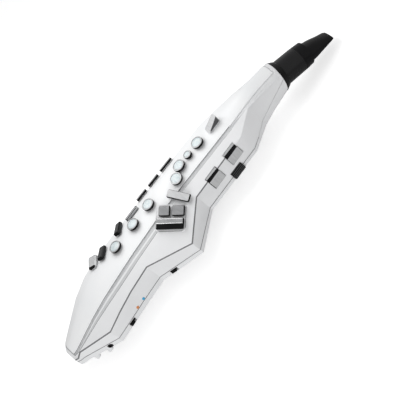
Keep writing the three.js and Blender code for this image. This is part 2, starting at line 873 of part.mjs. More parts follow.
const onPad = (u, v) => padFrame.clone().multiply(new THREE.Matrix4().makeTranslation(u, v, 0))
const smallRowV = (tableLongWidth + tableKeyGap) / 2
const longRowV = -(tableSmallWidth + tableKeyGap) / 2
const smallRun = tableLongLength - tableKeyGap
const [smallOne, smallTwo] = tableSmallShares.map((share) => share * smallRun)
const smallSplit = tableSmallShift + (smallOne - smallTwo) / 2
const lowBKeyU = smallSplit - (smallOne + tableKeyGap) / 2
const lowCSharpKeyU = smallSplit + (smallTwo + tableKeyGap) / 2
tableKey('low_b_key', smallOne, tableSmallWidth, onPad(lowBKeyU, smallRowV))
tableKey('low_c_sharp_key', smallTwo, tableSmallWidth, onPad(lowCSharpKeyU, smallRowV))
tableKey('low_b_flat_key', tableLongLength, tableLongWidth, onPad(0, longRowV), darkChrome)
tableKey('g_sharp_table_key', tableBigLength, tableBigWidth,
  frontFrame(tableBigX, tableBigY, tableBigTurn))

// Palm keys wrap over the right edge; outset is measured out of the shell
function palmRing(y, outer, inner, topReach, sideReach, chamfer = 0) {
  const ring = sectionAt(y)
  const at = ring.indexOf(ring[crownShares.length])
  const [before, edge, after] = [ring[at - 1], ring[at], ring[at + 1]]
  const unit = (to) => {
    const length = Math.hypot(to[0] - edge[0], to[1] - edge[1])
    return [(to[0] - edge[0]) / length, (to[1] - edge[1]) / length]
  }
  const [top, side] = [unit(before), unit(after)]
  const topOut = [top[1], -top[0]]
  const sideOut = [-side[1], side[0]]
  const alongTop = (out) => [
    edge[0] + top[0] * topReach + topOut[0] * out,
    edge[1] + top[1] * topReach + topOut[1] * out,
  ]
  const alongSide = (out, reach = sideReach) => [
    edge[0] + side[0] * reach + sideOut[0] * out,
    edge[1] + side[1] * reach + sideOut[1] * out,
  ]
  const corner = (out) => {
    const cross = topOut[0] * sideOut[1] - topOut[1] * sideOut[0]
    return [
      edge[0] + out * (sideOut[1] - topOut[1]) / cross,
      edge[1] + out * (topOut[0] - sideOut[0]) / cross,
    ]
  }
  const fold = chamfer > 0 ? alongSide(outer, chamfer) : corner(outer)
  return [alongTop(outer), fold, alongSide(outer), alongSide(inner), corner(inner), alongTop(inner)]
}

function palmBlock(y, length, outer, inner, topReach, sideReach, chamfer = 0) {
  return loft([y - length / 2, y + length / 2].map((at) => ({
    y: at,
    points: palmRing(at, outer, inner, topReach, sideReach, chamfer),
  })))
}

palmPlaceShares.forEach((share, i) => {
  const y = bodyLength * share
  const cover = palmBlock(y, palmLength, palmProud, flangeBottom, palmTopWidth, palmSideHeight,
    palmChamfer)
  const flange = palmBlock(y, palmLength + 2 * flangeOverlap, flangeTop, flangeBottom,
    palmTopWidth + palmGap + flangeOverlap, palmSideHeight + palmGap + flangeOverlap)
  place(`palm_key_${i + 1}`, cover.add(flange), chrome)
  frontCuts.push(palmBlock(y, palmLength + 2 * slideGap, overrun, flangeTop,
    palmTopWidth + palmGap, palmSideHeight + palmGap))
})

// Volume roller on its axle between two brackets
const rollerFrame = sideFrame(rollerY, -rollerDepth)
const rollerSink = rollerRadius - rollerProud
function rollerDrum() {
  const shape = new THREE.Shape()
  for (let i = 0; i < rollerRibs; i += 1) {
    const angle = (i / rollerRibs) * 2 * Math.PI
    const half = Math.PI / rollerRibs / 2
    const corners = [
      [rollerRadius, angle - half],
      [rollerRadius, angle + half],
      [rollerRadius - rollerRibDepth, angle + 2 * half],
    ]
    for (const [r, a] of corners) {
      if (i === 0 && a < 0) shape.moveTo(r * Math.cos(a), r * Math.sin(a))
      else shape.lineTo(r * Math.cos(a), r * Math.sin(a))
    }
  }
  const drum = new THREE.ExtrudeGeometry(shape, { depth: rollerLength, bevelEnabled: false })
    .translate(0, 0, -rollerLength / 2)
  const axleLength = rollerLength + 2 * (rollerAxleLength + slideGap)
  const axle = rod(rollerAxleRadius, axleLength).translate(0, 0, -axleLength / 2)
  return solid(drum).add(solid(axle))
}
const rollerAxis = rollerFrame.clone()
  .multiply(new THREE.Matrix4().makeTranslation(0, 0, -rollerSink))
  .multiply(new THREE.Matrix4().makeRotationX(-Math.PI / 2))
place('volume_roller', rollerDrum(), blackPlastic, rollerAxis)

const rollerWindowHeight = 2 * Math.sqrt(rollerRadius ** 2 - Math.max(0, rollerSink - rearWall) ** 2)
const rollerWindow = box(rollerWindowHeight + 2 * slideGap, rollerLength + 2 * slideGap, 2 * overrun)
const rollerCut = inFrame(solid(rollerWindow), rollerFrame)
frontCuts.push(rollerCut)
rearCuts.push(rollerCut)

function rollerBracketAt(end) {
  const y = end * (rollerLength / 2 + slideGap + rollerBracket / 2)
  const reach = bodyDepth * upperDepthShare - rollerDepth - rearWall / 2
  const top = rollerAxleRadius + slideGap + rollerBracket / 2
  const sunk = -rollerSink
  const plateBox = box(reach + top, rollerBracket, rollerBracketWidth, (reach - top) / 2, y, sunk)
  return inFrame(solid(plateBox), rollerFrame)
}
rearInside.push(rollerBracketAt(1), rollerBracketAt(-1))
const axleBoreLength = rollerLength + 4 * rollerBracket
const axleBore = rod(rollerAxleRadius + slideGap, axleBoreLength).translate(0, 0, -axleBoreLength / 2)
rearCuts.push(inFrame(solid(axleBore), rollerAxis))

// Slide switches: a knob in a slot, held from inside by its slider plate
function slideSwitch(name, y) {
  const frame = sideFrame(y, -seamDepth - switchDrop)
  const slider = [knobHeight + 2 * flangeOverlap, knobLength + switchTravel + 2 * flangeOverlap]
  const plateTop = flangeTopOf(rearWall)
  const knob = box(knobHeight, knobLength, knobProud - plateTop, 0, 0, (knobProud + plateTop) / 2)
  const sliderPlate = box(...slider, flangeThickness, 0, 0, plateTop - flangeThickness / 2)
  place(name, solid(knob).add(solid(sliderPlate)), blackPlastic, frame)
  const slotLength = knobLength + switchTravel + 2 * slotMargin
  const slot = box(knobHeight + 2 * slotMargin, slotLength, 3 * rearWall, 0, switchTravel / 2, 0)
  const room = box(slider[0] + 2 * slotMargin, slider[1] + switchTravel + 2 * slotMargin, overrun,
    0, switchTravel / 2, -rearWall - overrun / 2)
  rearCuts.push(inFrame(solid(slot), frame), inFrame(solid(room), frame))
}
slideSwitch('power_switch', bodyLength * powerSwitchShare)
slideSwitch('side_switch', bodyLength * sideSwitchShare)

// Headphone jack near the bell end
const jackFrame = sideFrame(bodyLength * jackPlaceShare, -seamDepth - jackDrop)
const jackBody = turned([
  [0, -jackLength],
  [jackRadius, -jackLength],
  [jackRadius, 0],
  [jackRadius - jackRim, jackRim],
  [jackBore, jackRim],
  [jackBore, -jackBoreDepth],
  [0, -jackBoreDepth],
], smallSegments)
place('phones_jack', solid(jackBody), blackPlastic, jackFrame)
const jackHole = rod(jackRadius + seatGap, 2 * overrun + jackLength).translate(0, 0, -overrun - jackLength)
rearCuts.push(inFrame(solid(jackHole), jackFrame))

// Neck collar with the tenon that carries the mouthpiece
const collar = turned([
  [breathTubeRadius + seatGap, -neckWall - collarEdge],
  [neckBore - slideGap, -neckWall - collarEdge],
  [neckBore - slideGap, seatGap],
  [neckRadius - collarEdge, seatGap],
  [neckRadius - collarEdge, collarEdge],
  [barrelRadius, collarHeight],
  [tenonRadius, collarHeight],
  [tenonRadius, collarHeight + tenonLength],
  [breathTubeRadius + seatGap, collarHeight + tenonLength],
  [breathTubeRadius + seatGap, -neckWall - collarEdge],
])
place('neck_collar', solid(collar), blackPlastic, neckFrame)
const neckRod = rod(neckBore, 2 * overrun, roundSegments).translate(0, 0, -overrun)
const neckHole = inFrame(solid(neckRod), neckFrame)
frontCuts.push(neckHole)
rearCuts.push(neckHole)

// Mouthpiece barrel: a socket over the tenon, then the airway
const barrelFoot = collarHeight + seatGap
const barrelTop = collarHeight + barrelLength
const socketEnd = collarHeight + tenonLength + slideGap
const barrel = turned([
  [tenonRadius + seatGap, barrelFoot],
  [barrelRadius, barrelFoot],
  [barrelRadius - barrelTaper, barrelTop - 2 * barrelRing],
  [barrelRadius - barrelTaper - barrelRing, barrelTop - 2 * barrelRing],
  [barrelRadius - barrelTaper - barrelRing, barrelTop],
  [airwayRadius, barrelTop],
  [airwayRadius, socketEnd],
  [tenonRadius + seatGap, socketEnd],
  [tenonRadius + seatGap, barrelFoot],
])
place('mouthpiece_barrel', solid(barrel), blackPlastic, neckFrame)

// Beak: a cone, a step and a flattening loft to the tip, as shares of the beak's own sizes.
// along the beak | half width | front side | reed side
const beakShares = [
  [0, 0.94, 0.8, -0.86],
  [0.3, 0.83, 0.56, -0.68],
  [0.65, 0.71, 0.26, -0.49],
  [0.92, 0.63, 0.08, -0.37],
  [1, 0.55, -0.06, -0.32],
]
const beakFoot = barrelTop + seatGap
const beakStart = barrelTop + coneLength
function beakRing(z, halfWidth, front, back) {
  const points = []
  for (let i = 0; i < roundSegments; i += 1) {
    const angle = (-i / roundSegments) * 2 * Math.PI
    const half = (front - back) / 2
    points.push([halfWidth * Math.cos(angle), (front + back) / 2 + half * Math.sin(angle)])
  }
  return { y: z, points }
}
const beakTurn = new THREE.Matrix4().makeBasis(
  new THREE.Vector3(-1, 0, 0), new THREE.Vector3(0, 0, 1), new THREE.Vector3(0, 1, 0))
function beakBody() {
  const cone = turned([
    [0, beakFoot],
    [barrelRadius - barrelTaper, beakFoot],
    [beakRadius, beakStart],
    [0, beakStart],
  ])
  const rings = beakShares.map(([along, width, front, back]) =>
    beakRing(beakStart + along * beakLength, width * beakRadius, front * beakRadius, back * beakRadius))
  rings[0].y -= beakStep
  const nose = loft(rings).transform(beakTurn.elements)
  const bore = rod(airwayRadius, beakBoreEnd - beakFoot + overrun).translate(0, 0, beakFoot - overrun)
  const bedBlock = across([
    [-reedLength - slideGap, 0],
    [overrun, 0],
    [overrun, -overrun],
    [-reedLength - slideGap, -overrun],
  ], -reedWidth / 2 - slideGap, reedWidth / 2 + slideGap)
  const airWindow = across([
    [beakBoreEnd - airWindowTip, 0],
    [beakEnd, bedTip + airWindowTip],
    [beakEnd + overrun, bedTip + airWindowTip],
    [beakEnd + overrun, -overrun],
    [beakBoreEnd - airWindowTip, -overrun],
  ], -airWindowWidth / 2, airWindowWidth / 2)
  const bed = inFrame(bedBlock, reedSeat)
  return cut(solid(cone).add(nose), [solid(bore), bed, inFrame(airWindow, beakTurn)])
}

// The reed lies in a flat bed on the beak's lower side and covers the air window
const beakEnd = beakStart + beakLength
const beakBoreEnd = beakStart + beakLength * beakBoreShare
const bedRow = beakShares[1]
const tipRow = beakShares.at(-1)
const bedSlope = ((tipRow[3] - bedRow[3]) * beakRadius) / ((tipRow[0] - bedRow[0]) * beakLength)
const bedTip = tipRow[3] * beakRadius + reedBedDepth
const reedSeat = new THREE.Matrix4()
  .makeTranslation(0, bedTip, beakEnd)
  .multiply(new THREE.Matrix4().makeRotationX(-Math.atan(bedSlope)))
  .multiply(beakTurn)
place('mouthpiece_beak', beakBody(), blackRubber, neckFrame)
const reed = across([
  [-reedLength, -seatGap],
  [-seatGap, -seatGap],
  [-seatGap, -seatGap - reedTipThickness],
  [-reedLength * reedTaperShare, -seatGap - reedThickness],
  [-reedLength, -seatGap - reedThickness],
], -reedWidth / 2, reedWidth / 2)
place('reed', reed, blackPlastic, neckFrame.clone().multiply(reedSeat))

// Thumb hook, adjustable along a slot in the back
function hookBody() {
  const [half, t, r] = [hookLength / 2, hookThickness, hookLength / 2]
  const side = new THREE.Shape()
  side.moveTo(-half, seatGap)
  side.lineTo(half, seatGap)
  side.lineTo(half, hookReach - r)
  side.absarc(half - r, hookReach - r, r, 0, Math.PI / 2)
  side.lineTo(-half / 2, hookReach)
  side.lineTo(-half / 2, hookReach - t)
  side.lineTo(half - r, hookReach - t)
  side.absarc(half - r, hookReach - r, r - t, Math.PI / 2, 0, true)
  side.lineTo(half - t, t)
  side.lineTo(-half, t * hookTaperShare)
  const settings = { depth: hookWidth, bevelEnabled: false, curveSegments: 6 }
  const basis = new THREE.Matrix4().makeBasis(
    new THREE.Vector3(0, 1, 0), new THREE.Vector3(0, 0, 1), new THREE.Vector3(1, 0, 0))
  const bar = new THREE.ExtrudeGeometry(side, settings).applyMatrix4(basis).translate(-hookWidth / 2, 0, 0)
  return solid(bar).add(blockStem(hookStemWidth, hookStemLength, seatGap, rearWall))
}
const hookY = bayEnd + hookRoom
const hookFrame = backFrame(0, hookY)
place('thumb_hook', hookBody(), blackPlastic, hookFrame)
const hookSlot = box(hookStemWidth + 2 * slideGap, hookStemLength + 2 * (hookTravel + slideGap), 2 * overrun)
rearCuts.push(inFrame(solid(hookSlot), hookFrame))

// Thumb rest for the left thumb
const thumbRest = turned([
  [0, seatGap],
  [thumbRestRadius, seatGap],
  [thumbRestRadius, thumbRestHeight - thumbRestEdge],
  [thumbRestRadius - thumbRestEdge, thumbRestHeight],
  [thumbRestRadius * thumbRestFlatShare, thumbRestHeight],
  [0, thumbRestHeight - thumbRestDish],
])
place('thumb_rest', solid(thumbRest), blackRubber, backFrame(0, thumbRestY))

// Octave keys above the thumb rest, menu buttons and display near the neck
function backKey(name, cap, stemLength, stemWidth, material, frame) {
  place(name, cap.add(blockStem(stemLength, stemWidth, keyLift, rearWall)), material, frame)
  rearCuts.push(inFrame(stemWindow(stemLength, stemWidth), frame))
}
const octaveStart = thumbRestY + thumbRestRadius + octaveKeyGap + octaveKeyLength / 2
for (const step of [0, 1]) {
  const outline = roundedRectangle(octaveKeyWidth, octaveKeyLength, octaveKeyLength * octaveCornerShare)
  const cap = plate(outline, keyLift, octaveKeyHeight, octaveKeyLength * octaveBevelShare)
  const y = octaveStart + step * (octaveKeyLength + octaveKeyGap)
  backKey(`octave_key_${step + 1}`, cap, octaveKeyWidth / 2, octaveKeyLength / 2, chrome, backFrame(0, y))
}
for (const side of [-1, 1]) {
  const frame = backFrame(side * menuButtonPitch / 2, menuButtonY)
  const button = rod(menuButtonRadius, menuButtonHeight - keyLift).translate(0, 0, keyLift)
  const cap = solid(button)
  const name = side < 0 ? 'menu_button_down' : 'menu_button_up'
  backKey(name, cap, 2 * menuStemRadius, 2 * menuStemRadius, blackPlastic, frame)
}
const displayFrame = backFrame(0, displayY)
const lensOutline = (margin) =>
  roundedRectangle(displayWidth + 2 * margin, displayLength + 2 * margin, displayCorner + margin)
place('display_lens', plate(lensOutline(0), -displayThickness, 0), smokedLens, displayFrame)
rearCuts.push(inFrame(plate(lensOutline(seatGap), -displayThickness - seatGap, overrun), displayFrame))

// Strap ring hanging in its lug
const lugFrame = backFrame(0, mix(hookY, thumbRestY, strapPlaceShare))
const lugBore = strapRingWire + slideGap
const lug = solid(box(strapLugWidth, 4 * lugBore, strapLugHeight + 2 * lugBore + wallThickness / 2,
  0, 0, (strapLugHeight + 2 * lugBore - wallThickness / 2) / 2))
const lugHole = solid(rod(lugBore, 2 * strapLugWidth).translate(0, 0, -strapLugWidth)
  .rotateY(Math.PI / 2).translate(0, 0, strapLugHeight))
rearAdds.push(inFrame(lug.subtract(lugHole), lugFrame))
const ring = new THREE.TorusGeometry(strapRingRadius, strapRingWire, 8, roundSegments)
  .rotateX(Math.PI / 2)
  .translate(0, 0, strapLugHeight + strapRingRadius)
place('strap_ring', solid(ring), steel, lugFrame)

// Battery bay: a tub open to the back, the cells in their cradle, and a cover on hinge pins
const coverDepth = coverThickness + seatGap
const bayDepth = coverDepth + 2 * cellRadius + cradleFloor - cradleBite + 2 * seatGap
const bayFrame = backFrame(bayX, bayY)
const tub = (margin, depth) => solid(box(bayWidth + 2 * margin, bayLength + 2 * margin, depth,
  0, 0, -depth / 2))
rearInside.push(inFrame(tub(bayWall + seatGap, bayDepth + bayWall), bayFrame))
const bayMouth = solid(box(coverWidth + 2 * seatGap, coverLength + 2 * seatGap, coverDepth + overrun,
  0, 0, (overrun - coverDepth) / 2))
rearCuts.push(inFrame(bayMouth, bayFrame), inFrame(tub(0, bayDepth), bayFrame))
function batteryPack() {
  const cells = []
  const cellZ = -coverDepth - seatGap - cellRadius
  for (let column = 0; column < cellColumns; column += 1) {
    for (let row = 0; row < cellRows; row += 1) {
      const x = (column - (cellColumns - 1) / 2) * cellPitch
      const y = (row - (cellRows - 1) / 2) * (cellLength + cellPitchGap)
      const cell = rod(cellRadius, cellLength).translate(0, 0, -cellLength / 2)
      cells.push(solid(cell.rotateX(Math.PI / 2).translate(x, y, cellZ)))
    }
  }
  const floor = box(bayWidth - 2 * seatGap, bayLength - 2 * seatGap, cradleFloor,
    0, 0, seatGap + cradleFloor / 2 - bayDepth)
  return union([...cells, solid(floor)])
}
place('battery_pack', batteryPack(), cellSleeve, bayFrame)

// The cover's bell-side edge is round about its hinge pins
const coverEdge = coverThickness / 2
const hingeFrame = bayFrame.clone()
  .multiply(new THREE.Matrix4().makeTranslation(0, coverEdge - coverLength / 2, -coverEdge))
const hingeRod = (radius, length) =>
  solid(rod(radius, length).translate(0, 0, -length / 2).rotateY(Math.PI / 2))
function batteryCover() {
  const lid = box(coverWidth, coverLength - coverEdge, coverThickness, 0, (coverLength - coverEdge) / 2, 0)
  return union([solid(lid), hingeRod(coverEdge, coverWidth),
    hingeRod(hingePinRadius, coverWidth + 2 * hingePinReach)])
}
place('battery_cover', batteryCover(), whiteShell, hingeFrame)
const pinBores = hingeRod(hingePinRadius + seatGap, coverWidth + 2 * (hingePinReach + seatGap))
const notch = rod(notchRadius, notchDepth + overrun, roundSegments)
  .translate(0, coverLength / 2, -notchDepth)
rearCuts.push(inFrame(pinBores, hingeFrame), inFrame(solid(notch), bayFrame))

// Key contacts: a rubber sheet with a dome under every finger key, on its board
const keyBoardLength = keyBoardEnd - keyBoardStart
const keyBoardMiddle = (keyBoardStart + keyBoardEnd) / 2
const keyBoardTop = sheetTop - sheetThickness - seatGap
const fingerKeys = [
  [0, firstKeyY], [0, bisKeyY], [0, secondKeyY], [thirdKeyShift, thirdKeyY],
  [0, fourthKeyY], [0, fifthKeyY], [0, sixthKeyY],
]
const sheet = solid(box(2 * sheetHalfWidth, keyBoardLength - 2 * seatGap, sheetThickness,
  0, keyBoardMiddle, sheetTop - sheetThickness / 2))
const domes = fingerKeys.map(([x, y]) =>
  solid(rod(domeRadius, domeHeight + sheetThickness / 2, smallSegments)
    .translate(x, y, sheetTop - sheetThickness / 2)))

// A board on four posts; each post ends in a pin through the board
function postPlaces(start, end) {
  const share = boardPostShare
  return [mix(start, end, share), mix(end, start, share)]
    .flatMap((y) => [-1, 1].map((side) => [side * (boardHalfWidth - boardPostInset), y]))
}
function board(name, start, end, top) {
  const slab = solid(box(2 * boardHalfWidth, end - start, boardThickness,
    0, (start + end) / 2, top - boardThickness / 2))
  const holes = postPlaces(start, end).map(([x, y]) =>
    solid(rod(boardPinRadius + slideGap, 2 * overrun, smallSegments).translate(x, y, top - overrun)))
  place(name, cut(slab, holes), boardGreen)
}
const sheetHoles = postPlaces(keyBoardStart, keyBoardEnd).map(([x, y]) =>
  solid(rod(boardPostRadius + slideGap, 2 * overrun, smallSegments).translate(x, y, sheetTop - overrun)))
place('key_contact_sheet', cut(union([sheet, ...domes]), sheetHoles), greyRubber)
board('key_board', keyBoardStart, keyBoardEnd, keyBoardTop)
board('main_board', mainBoardStart, mainBoardEnd, -mainBoardDepth)
for (const [x, y] of postPlaces(keyBoardStart, keyBoardEnd)) {
  const head = frontHeight(x, y)
  const seat = keyBoardTop + seatGap
  const pinEnd = keyBoardTop - boardThickness - seatGap
  frontInside.push(solid(rod(boardPostRadius, head - seat).translate(x, y, seat)))
  frontInside.push(solid(rod(boardPinRadius, head - pinEnd).translate(x, y, pinEnd)))
}
for (const [x, y] of postPlaces(mainBoardStart, mainBoardEnd)) {
  const foot = backAt(y) + wallThickness
  const seat = -mainBoardDepth - boardThickness - seatGap
  rearInside.push(solid(rod(boardPostRadius, seat - foot).translate(x, y, foot)))
  rearInside.push(solid(rod(boardPinRadius, seatGap - mainBoardDepth - foot).translate(x, y, foot)))
}

// Breath sensor on the main board, and the tube from the collar
const sensorY = mainBoardEnd - sensorLength
const sensorFoot = -mainBoardDepth + seatGap
place('breath_sensor', solid(box(sensorWidth, sensorLength, sensorHeight,
  0, sensorY, sensorFoot + sensorHeight / 2)), blackPlastic)
const tubeTop = collarHeight / 2
const tubeRun = (bodyLength - sensorY - sensorLength / 2) * Math.hypot(1, neckLean)
const tubeFoot = breathTubeRadius / 2 - tubeRun
const breathTube = turned([
  [breathTubeBore, tubeFoot],
  [breathTubeRadius, tubeFoot],
  [breathTubeRadius, tubeTop],
  [breathTubeBore, tubeTop],
  [breathTubeBore, tubeFoot],
], smallSegments)
place('breath_tube', solid(breathTube), clearTube, neckFrame)

// Speakers behind the slots at the bell end
for (const side of [0, 1]) {
  const frame = backFrame(side * speakerPitch, speakerY)
  const basket = turned([
    [0, -rearWall - seatGap],
    [speakerRadius, -rearWall - seatGap],
    [speakerRadius, -rearWall - seatGap - speakerDepth / 3],
    [speakerRadius / 2, -rearWall - speakerDepth],
    [0, -rearWall - speakerDepth],
  ].reverse(), smallSegments)
  place(`speaker_${side + 1}`, solid(basket), blackPlastic, frame)
  for (let slot = 0; slot < grilleSlots; slot += 1) {
    const offset = (slot - (grilleSlots - 1) / 2) * grillePitch
    const length = 2 * Math.sqrt((speakerRadius - grilleSlotWidth) ** 2 - offset ** 2)
    rearCuts.push(inFrame(solid(box(length, grilleSlotWidth, 3 * rearWall, 0, offset, 0)), frame))
  }
}

// Case screws from the back into bosses of the front shell
const bossSplit = -seamDepth - seatGap
screwPlaceShares.forEach(([reachShare, lengthShare], i) => {
  const [x, y] = [rightReach * reachShare, bodyLength * lengthShare]
  const back = backAt(y)
  const frame = frameOf(new THREE.Vector3(x, y, back),
    new THREE.Vector3(-1, 0, 0), new THREE.Vector3(0, 1, 0), new THREE.Vector3(0, 0, -1))
  const headSeat = -screwRecess - screwHeadHeight
  const tip = back - bossSplit - screwBite
  const profile = [
    [0, tip],
    [screwRadius, tip],
    [screwRadius, headSeat],
    [screwHeadRadius, headSeat],
    [screwHeadRadius, -screwRecess],
    [0, -screwRecess],
  ]
  place(`case_screw_${i + 1}`, solid(turned(profile, smallSegments)), steel, frame)
  const foot = back + wallThickness
  const head = frontHeight(x, y)
  rearInside.push(solid(rod(screwBossRadius, bossSplit - seatGap - foot).translate(x, y, foot)))
  frontInside.push(solid(rod(screwBossRadius, head - bossSplit).translate(x, y, bossSplit)))
  const well = solid(rod(screwHeadRadius + seatGap, overrun).translate(0, 0, headSeat - seatGap))
  const shaft = solid(rod(screwRadius + seatGap, screwBite + seatGap - back + bossSplit)
    .translate(0, 0, tip - seatGap))
  rearCuts.push(inFrame(well, frame), inFrame(shaft, frame))
  frontCuts.push(inFrame(shaft, frame))
})

// Feet across the back of the bell end
for (const share of ribPlaceShares) {
  const y = bodyLength * share
  const s = stationAt(y)
  const left = s.left - sideDraft + ribInset
  const right = s.right + sideDraft - ribInset
  const outline = roundedRectangle(right - left, ribWidth, ribWidth / 3)
  const rib = plate(outline, -backBevel, ribHeight, ribWidth / 5)
  rearAdds.push(inFrame(rib, backFrame((left + right) / 2, y)))
}

// A point moved on past its neighbour's end of the line
function beyond(end, neighbour, margin) {
  const [dx, dz] = [end[0] - neighbour[0], end[1] - neighbour[1]]
  const length = Math.hypot(dx, dz)
  return [end[0] + (dx / length) * margin, end[1] + (dz / length) * margin]
}

// Front panel in its recess
function panelStrip(top, floor, margin, wideMargin = margin) {
  const start = panelFootY - margin
  const end = panelTopY + margin
  const stops = [...stationShares.map((row) => row[0] * bodyLength), panelFootY, panelTopY]
  const inner = stops.filter((y) => y > start && y < end).sort((a, b) => a - b)
  return loft([start, ...inner, end].map((y) => {
    const ring = sectionAt(y)
    const line = [ring.at(-1), ...ring.slice(0, crownShares.length)]
    const wide = mix(margin, wideMargin, clamp01(y / fourthKeyY))
    const path = margin === 0 ? line
      : [beyond(line[0], line[1], margin), ...line, beyond(line.at(-1), line.at(-2), wide)]
    const points = [
      ...path.map(([x, z]) => [x, z + top]),
      ...path.map(([x, z]) => [x, z + floor]).reverse(),
    ]
    return { y, points, lean: leanAt(y) }
  }), stripFaces)
}
const panelFloor = panelProud - panelThickness
const frontPanel = cut(panelStrip(panelProud, panelFloor, 0), panelCuts)
place('front_panel', frontPanel, pearlPanel)

// Shells: the skin and its hollows, split at the parting line
const skin = bodyCore(0, 0, bodyLength)
const hollow = (wall) => bodyCore(wall, wall, bodyLength - neckWall - wall + wallThickness)
const recess = panelStrip(overrun, panelFloor - seatGap, panelGroove, panelWideGroove)
const frontWalls = skin.subtract(hollow(wallThickness)).subtract(recess).intersect(aboveSeam(0))
const frontInner = union(frontInside).intersect(hollow(wallThickness - seatGap))
place('front_shell', cut(union([frontWalls, frontInner, ...frontAdds]), frontCuts), whiteShell)

const rearSkin = skin.subtract(aboveSeam(-seamGap))
const lip = hollow(wallThickness + seatGap).subtract(aboveSeam(lipHeight))
const rearInner = union(rearInside).intersect(hollow(wallThickness + seatGap))
const rearWalls = rearSkin.add(lip).subtract(hollow(rearWall))
place('rear_shell', cut(union([rearWalls, rearInner, ...rearAdds]), rearCuts), whiteShell)

// The origin lies under the middle of the part, on the surface that it rests on
const bounds = new THREE.Box3().setFromObject(model, true)
const middle = bounds.getCenter(new THREE.Vector3())
model.position.set(-middle.x, -middle.y, -bounds.min.z)

export default model
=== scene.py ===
# Digital wind controller: finishes, turned keys and mouthpiece, light and camera.
# Metres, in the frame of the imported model.

import json
import math

import bmesh
import bpy
from mathutils import Matrix, Vector
from mathutils.bvhtree import BVHTree


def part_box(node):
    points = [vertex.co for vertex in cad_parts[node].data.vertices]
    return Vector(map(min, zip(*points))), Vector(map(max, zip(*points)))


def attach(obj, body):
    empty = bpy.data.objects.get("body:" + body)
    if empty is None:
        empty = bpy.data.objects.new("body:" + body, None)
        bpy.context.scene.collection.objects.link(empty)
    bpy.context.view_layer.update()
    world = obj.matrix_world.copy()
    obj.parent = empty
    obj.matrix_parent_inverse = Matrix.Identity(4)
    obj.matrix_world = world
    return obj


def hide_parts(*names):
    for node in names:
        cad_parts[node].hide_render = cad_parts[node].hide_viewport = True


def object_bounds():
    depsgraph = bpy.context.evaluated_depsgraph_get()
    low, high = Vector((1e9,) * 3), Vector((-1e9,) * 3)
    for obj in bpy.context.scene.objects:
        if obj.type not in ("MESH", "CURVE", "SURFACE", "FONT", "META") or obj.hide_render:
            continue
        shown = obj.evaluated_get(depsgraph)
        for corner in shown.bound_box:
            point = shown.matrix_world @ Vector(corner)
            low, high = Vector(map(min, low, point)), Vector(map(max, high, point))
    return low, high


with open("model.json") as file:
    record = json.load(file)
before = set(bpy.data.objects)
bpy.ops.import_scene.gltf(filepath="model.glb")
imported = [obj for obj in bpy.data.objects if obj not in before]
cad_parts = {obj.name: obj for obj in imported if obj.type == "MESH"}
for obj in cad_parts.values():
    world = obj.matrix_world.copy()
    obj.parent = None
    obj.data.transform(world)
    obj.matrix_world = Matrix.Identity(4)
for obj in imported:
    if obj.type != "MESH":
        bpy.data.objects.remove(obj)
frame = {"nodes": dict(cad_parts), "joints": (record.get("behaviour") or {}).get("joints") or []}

MM = 0.001
MICRON = 0.000001
cad_low, cad_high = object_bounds()

# The key row's line at the front face, from the board under it
BOARD_MIDDLE = 265
FACE_OVER_BOARD = 10.1
board_low, board_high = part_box("key_board")
row = Vector(((board_low.x + board_high.x) / 2,
              (board_low.y + board_high.y) / 2 - BOARD_MIDDLE * MM,
              board_high.z + FACE_OVER_BOARD * MM))


def on_body(x, y, z):
    """A place in millimetres from the bell end on the key row's line."""
    return row + Vector((x, y, z)) * MM


# Camera: places in millimetres on the body, and shares of the picture's right
CAMERA_TARGET = (34, 279, -34)
CAMERA_DISTANCE = 1950
CAMERA_LENS = 128.1
CAMERA_SENSOR = 36
CAMERA_REACH = 20
PICTURE_ALONG = 0.619
PICTURE_ACROSS = 0.785


def make_camera():
    """The picture's right runs partly along the body and partly across it."""
    back = Vector((1, 0, 1)).normalized()
    across = Vector((1, 0, -1)).normalized()
    along = Vector((0, 1, 0))
    right = (PICTURE_ALONG * along + PICTURE_ACROSS * across).normalized()
    up = back.cross(right)
    place = Matrix((right, up, back)).transposed().to_4x4()
    place.translation = on_body(*CAMERA_TARGET) + back * CAMERA_DISTANCE * MM
    data = bpy.data.cameras.new("camera")
    data.sensor_width = CAMERA_SENSOR
    data.lens = CAMERA_LENS
    data.clip_end = CAMERA_REACH
    camera = bpy.data.objects.new("camera", data)
    camera.matrix_world = place
    bpy.context.scene.collection.objects.link(camera)
    bpy.context.scene.camera = camera


make_camera()

# Finishes
NOISE_LOW = 0.3
NOISE_HIGH = 0.7
SMUDGE_SCALE = 60
GRAIN_DETAIL = 2
COAT_ROUGHNESS = 0.08
BEVEL_SAMPLES = 4


def noise(tree, scale, detail=3, stretch=(1, 1, 1)):
    nodes, links = tree.nodes, tree.links
    place = nodes.new("ShaderNodeTexCoord")
    mapping = nodes.new("ShaderNodeMapping")
    mapping.inputs["Scale"].default_value = stretch
    texture = nodes.new("ShaderNodeTexNoise")
    texture.inputs["Scale"].default_value = scale
    texture.inputs["Detail"].default_value = detail
    links.new(place.outputs["Object"], mapping.inputs["Vector"])
    links.new(mapping.outputs["Vector"], texture.inputs["Vector"])
    return texture.outputs["Fac"]


def ranged(tree, value, low, high):
    node = tree.nodes.new("ShaderNodeMapRange")
    node.inputs["From Min"].default_value = NOISE_LOW
    node.inputs["From Max"].default_value = NOISE_HIGH
    node.inputs["To Min"].default_value = low
    node.inputs["To Max"].default_value = high
    tree.links.new(value, node.inputs["Value"])
    return node.outputs["Result"]


def tinted(tree, value, dark, light):
    ramp = tree.nodes.new("ShaderNodeValToRGB")
    first, last = ramp.color_ramp.elements
    first.position = NOISE_LOW
    first.color = (*dark, 1)
    last.position = NOISE_HIGH
    last.color = (*light, 1)
    tree.links.new(value, ramp.inputs["Fac"])
    return ramp.outputs["Color"]


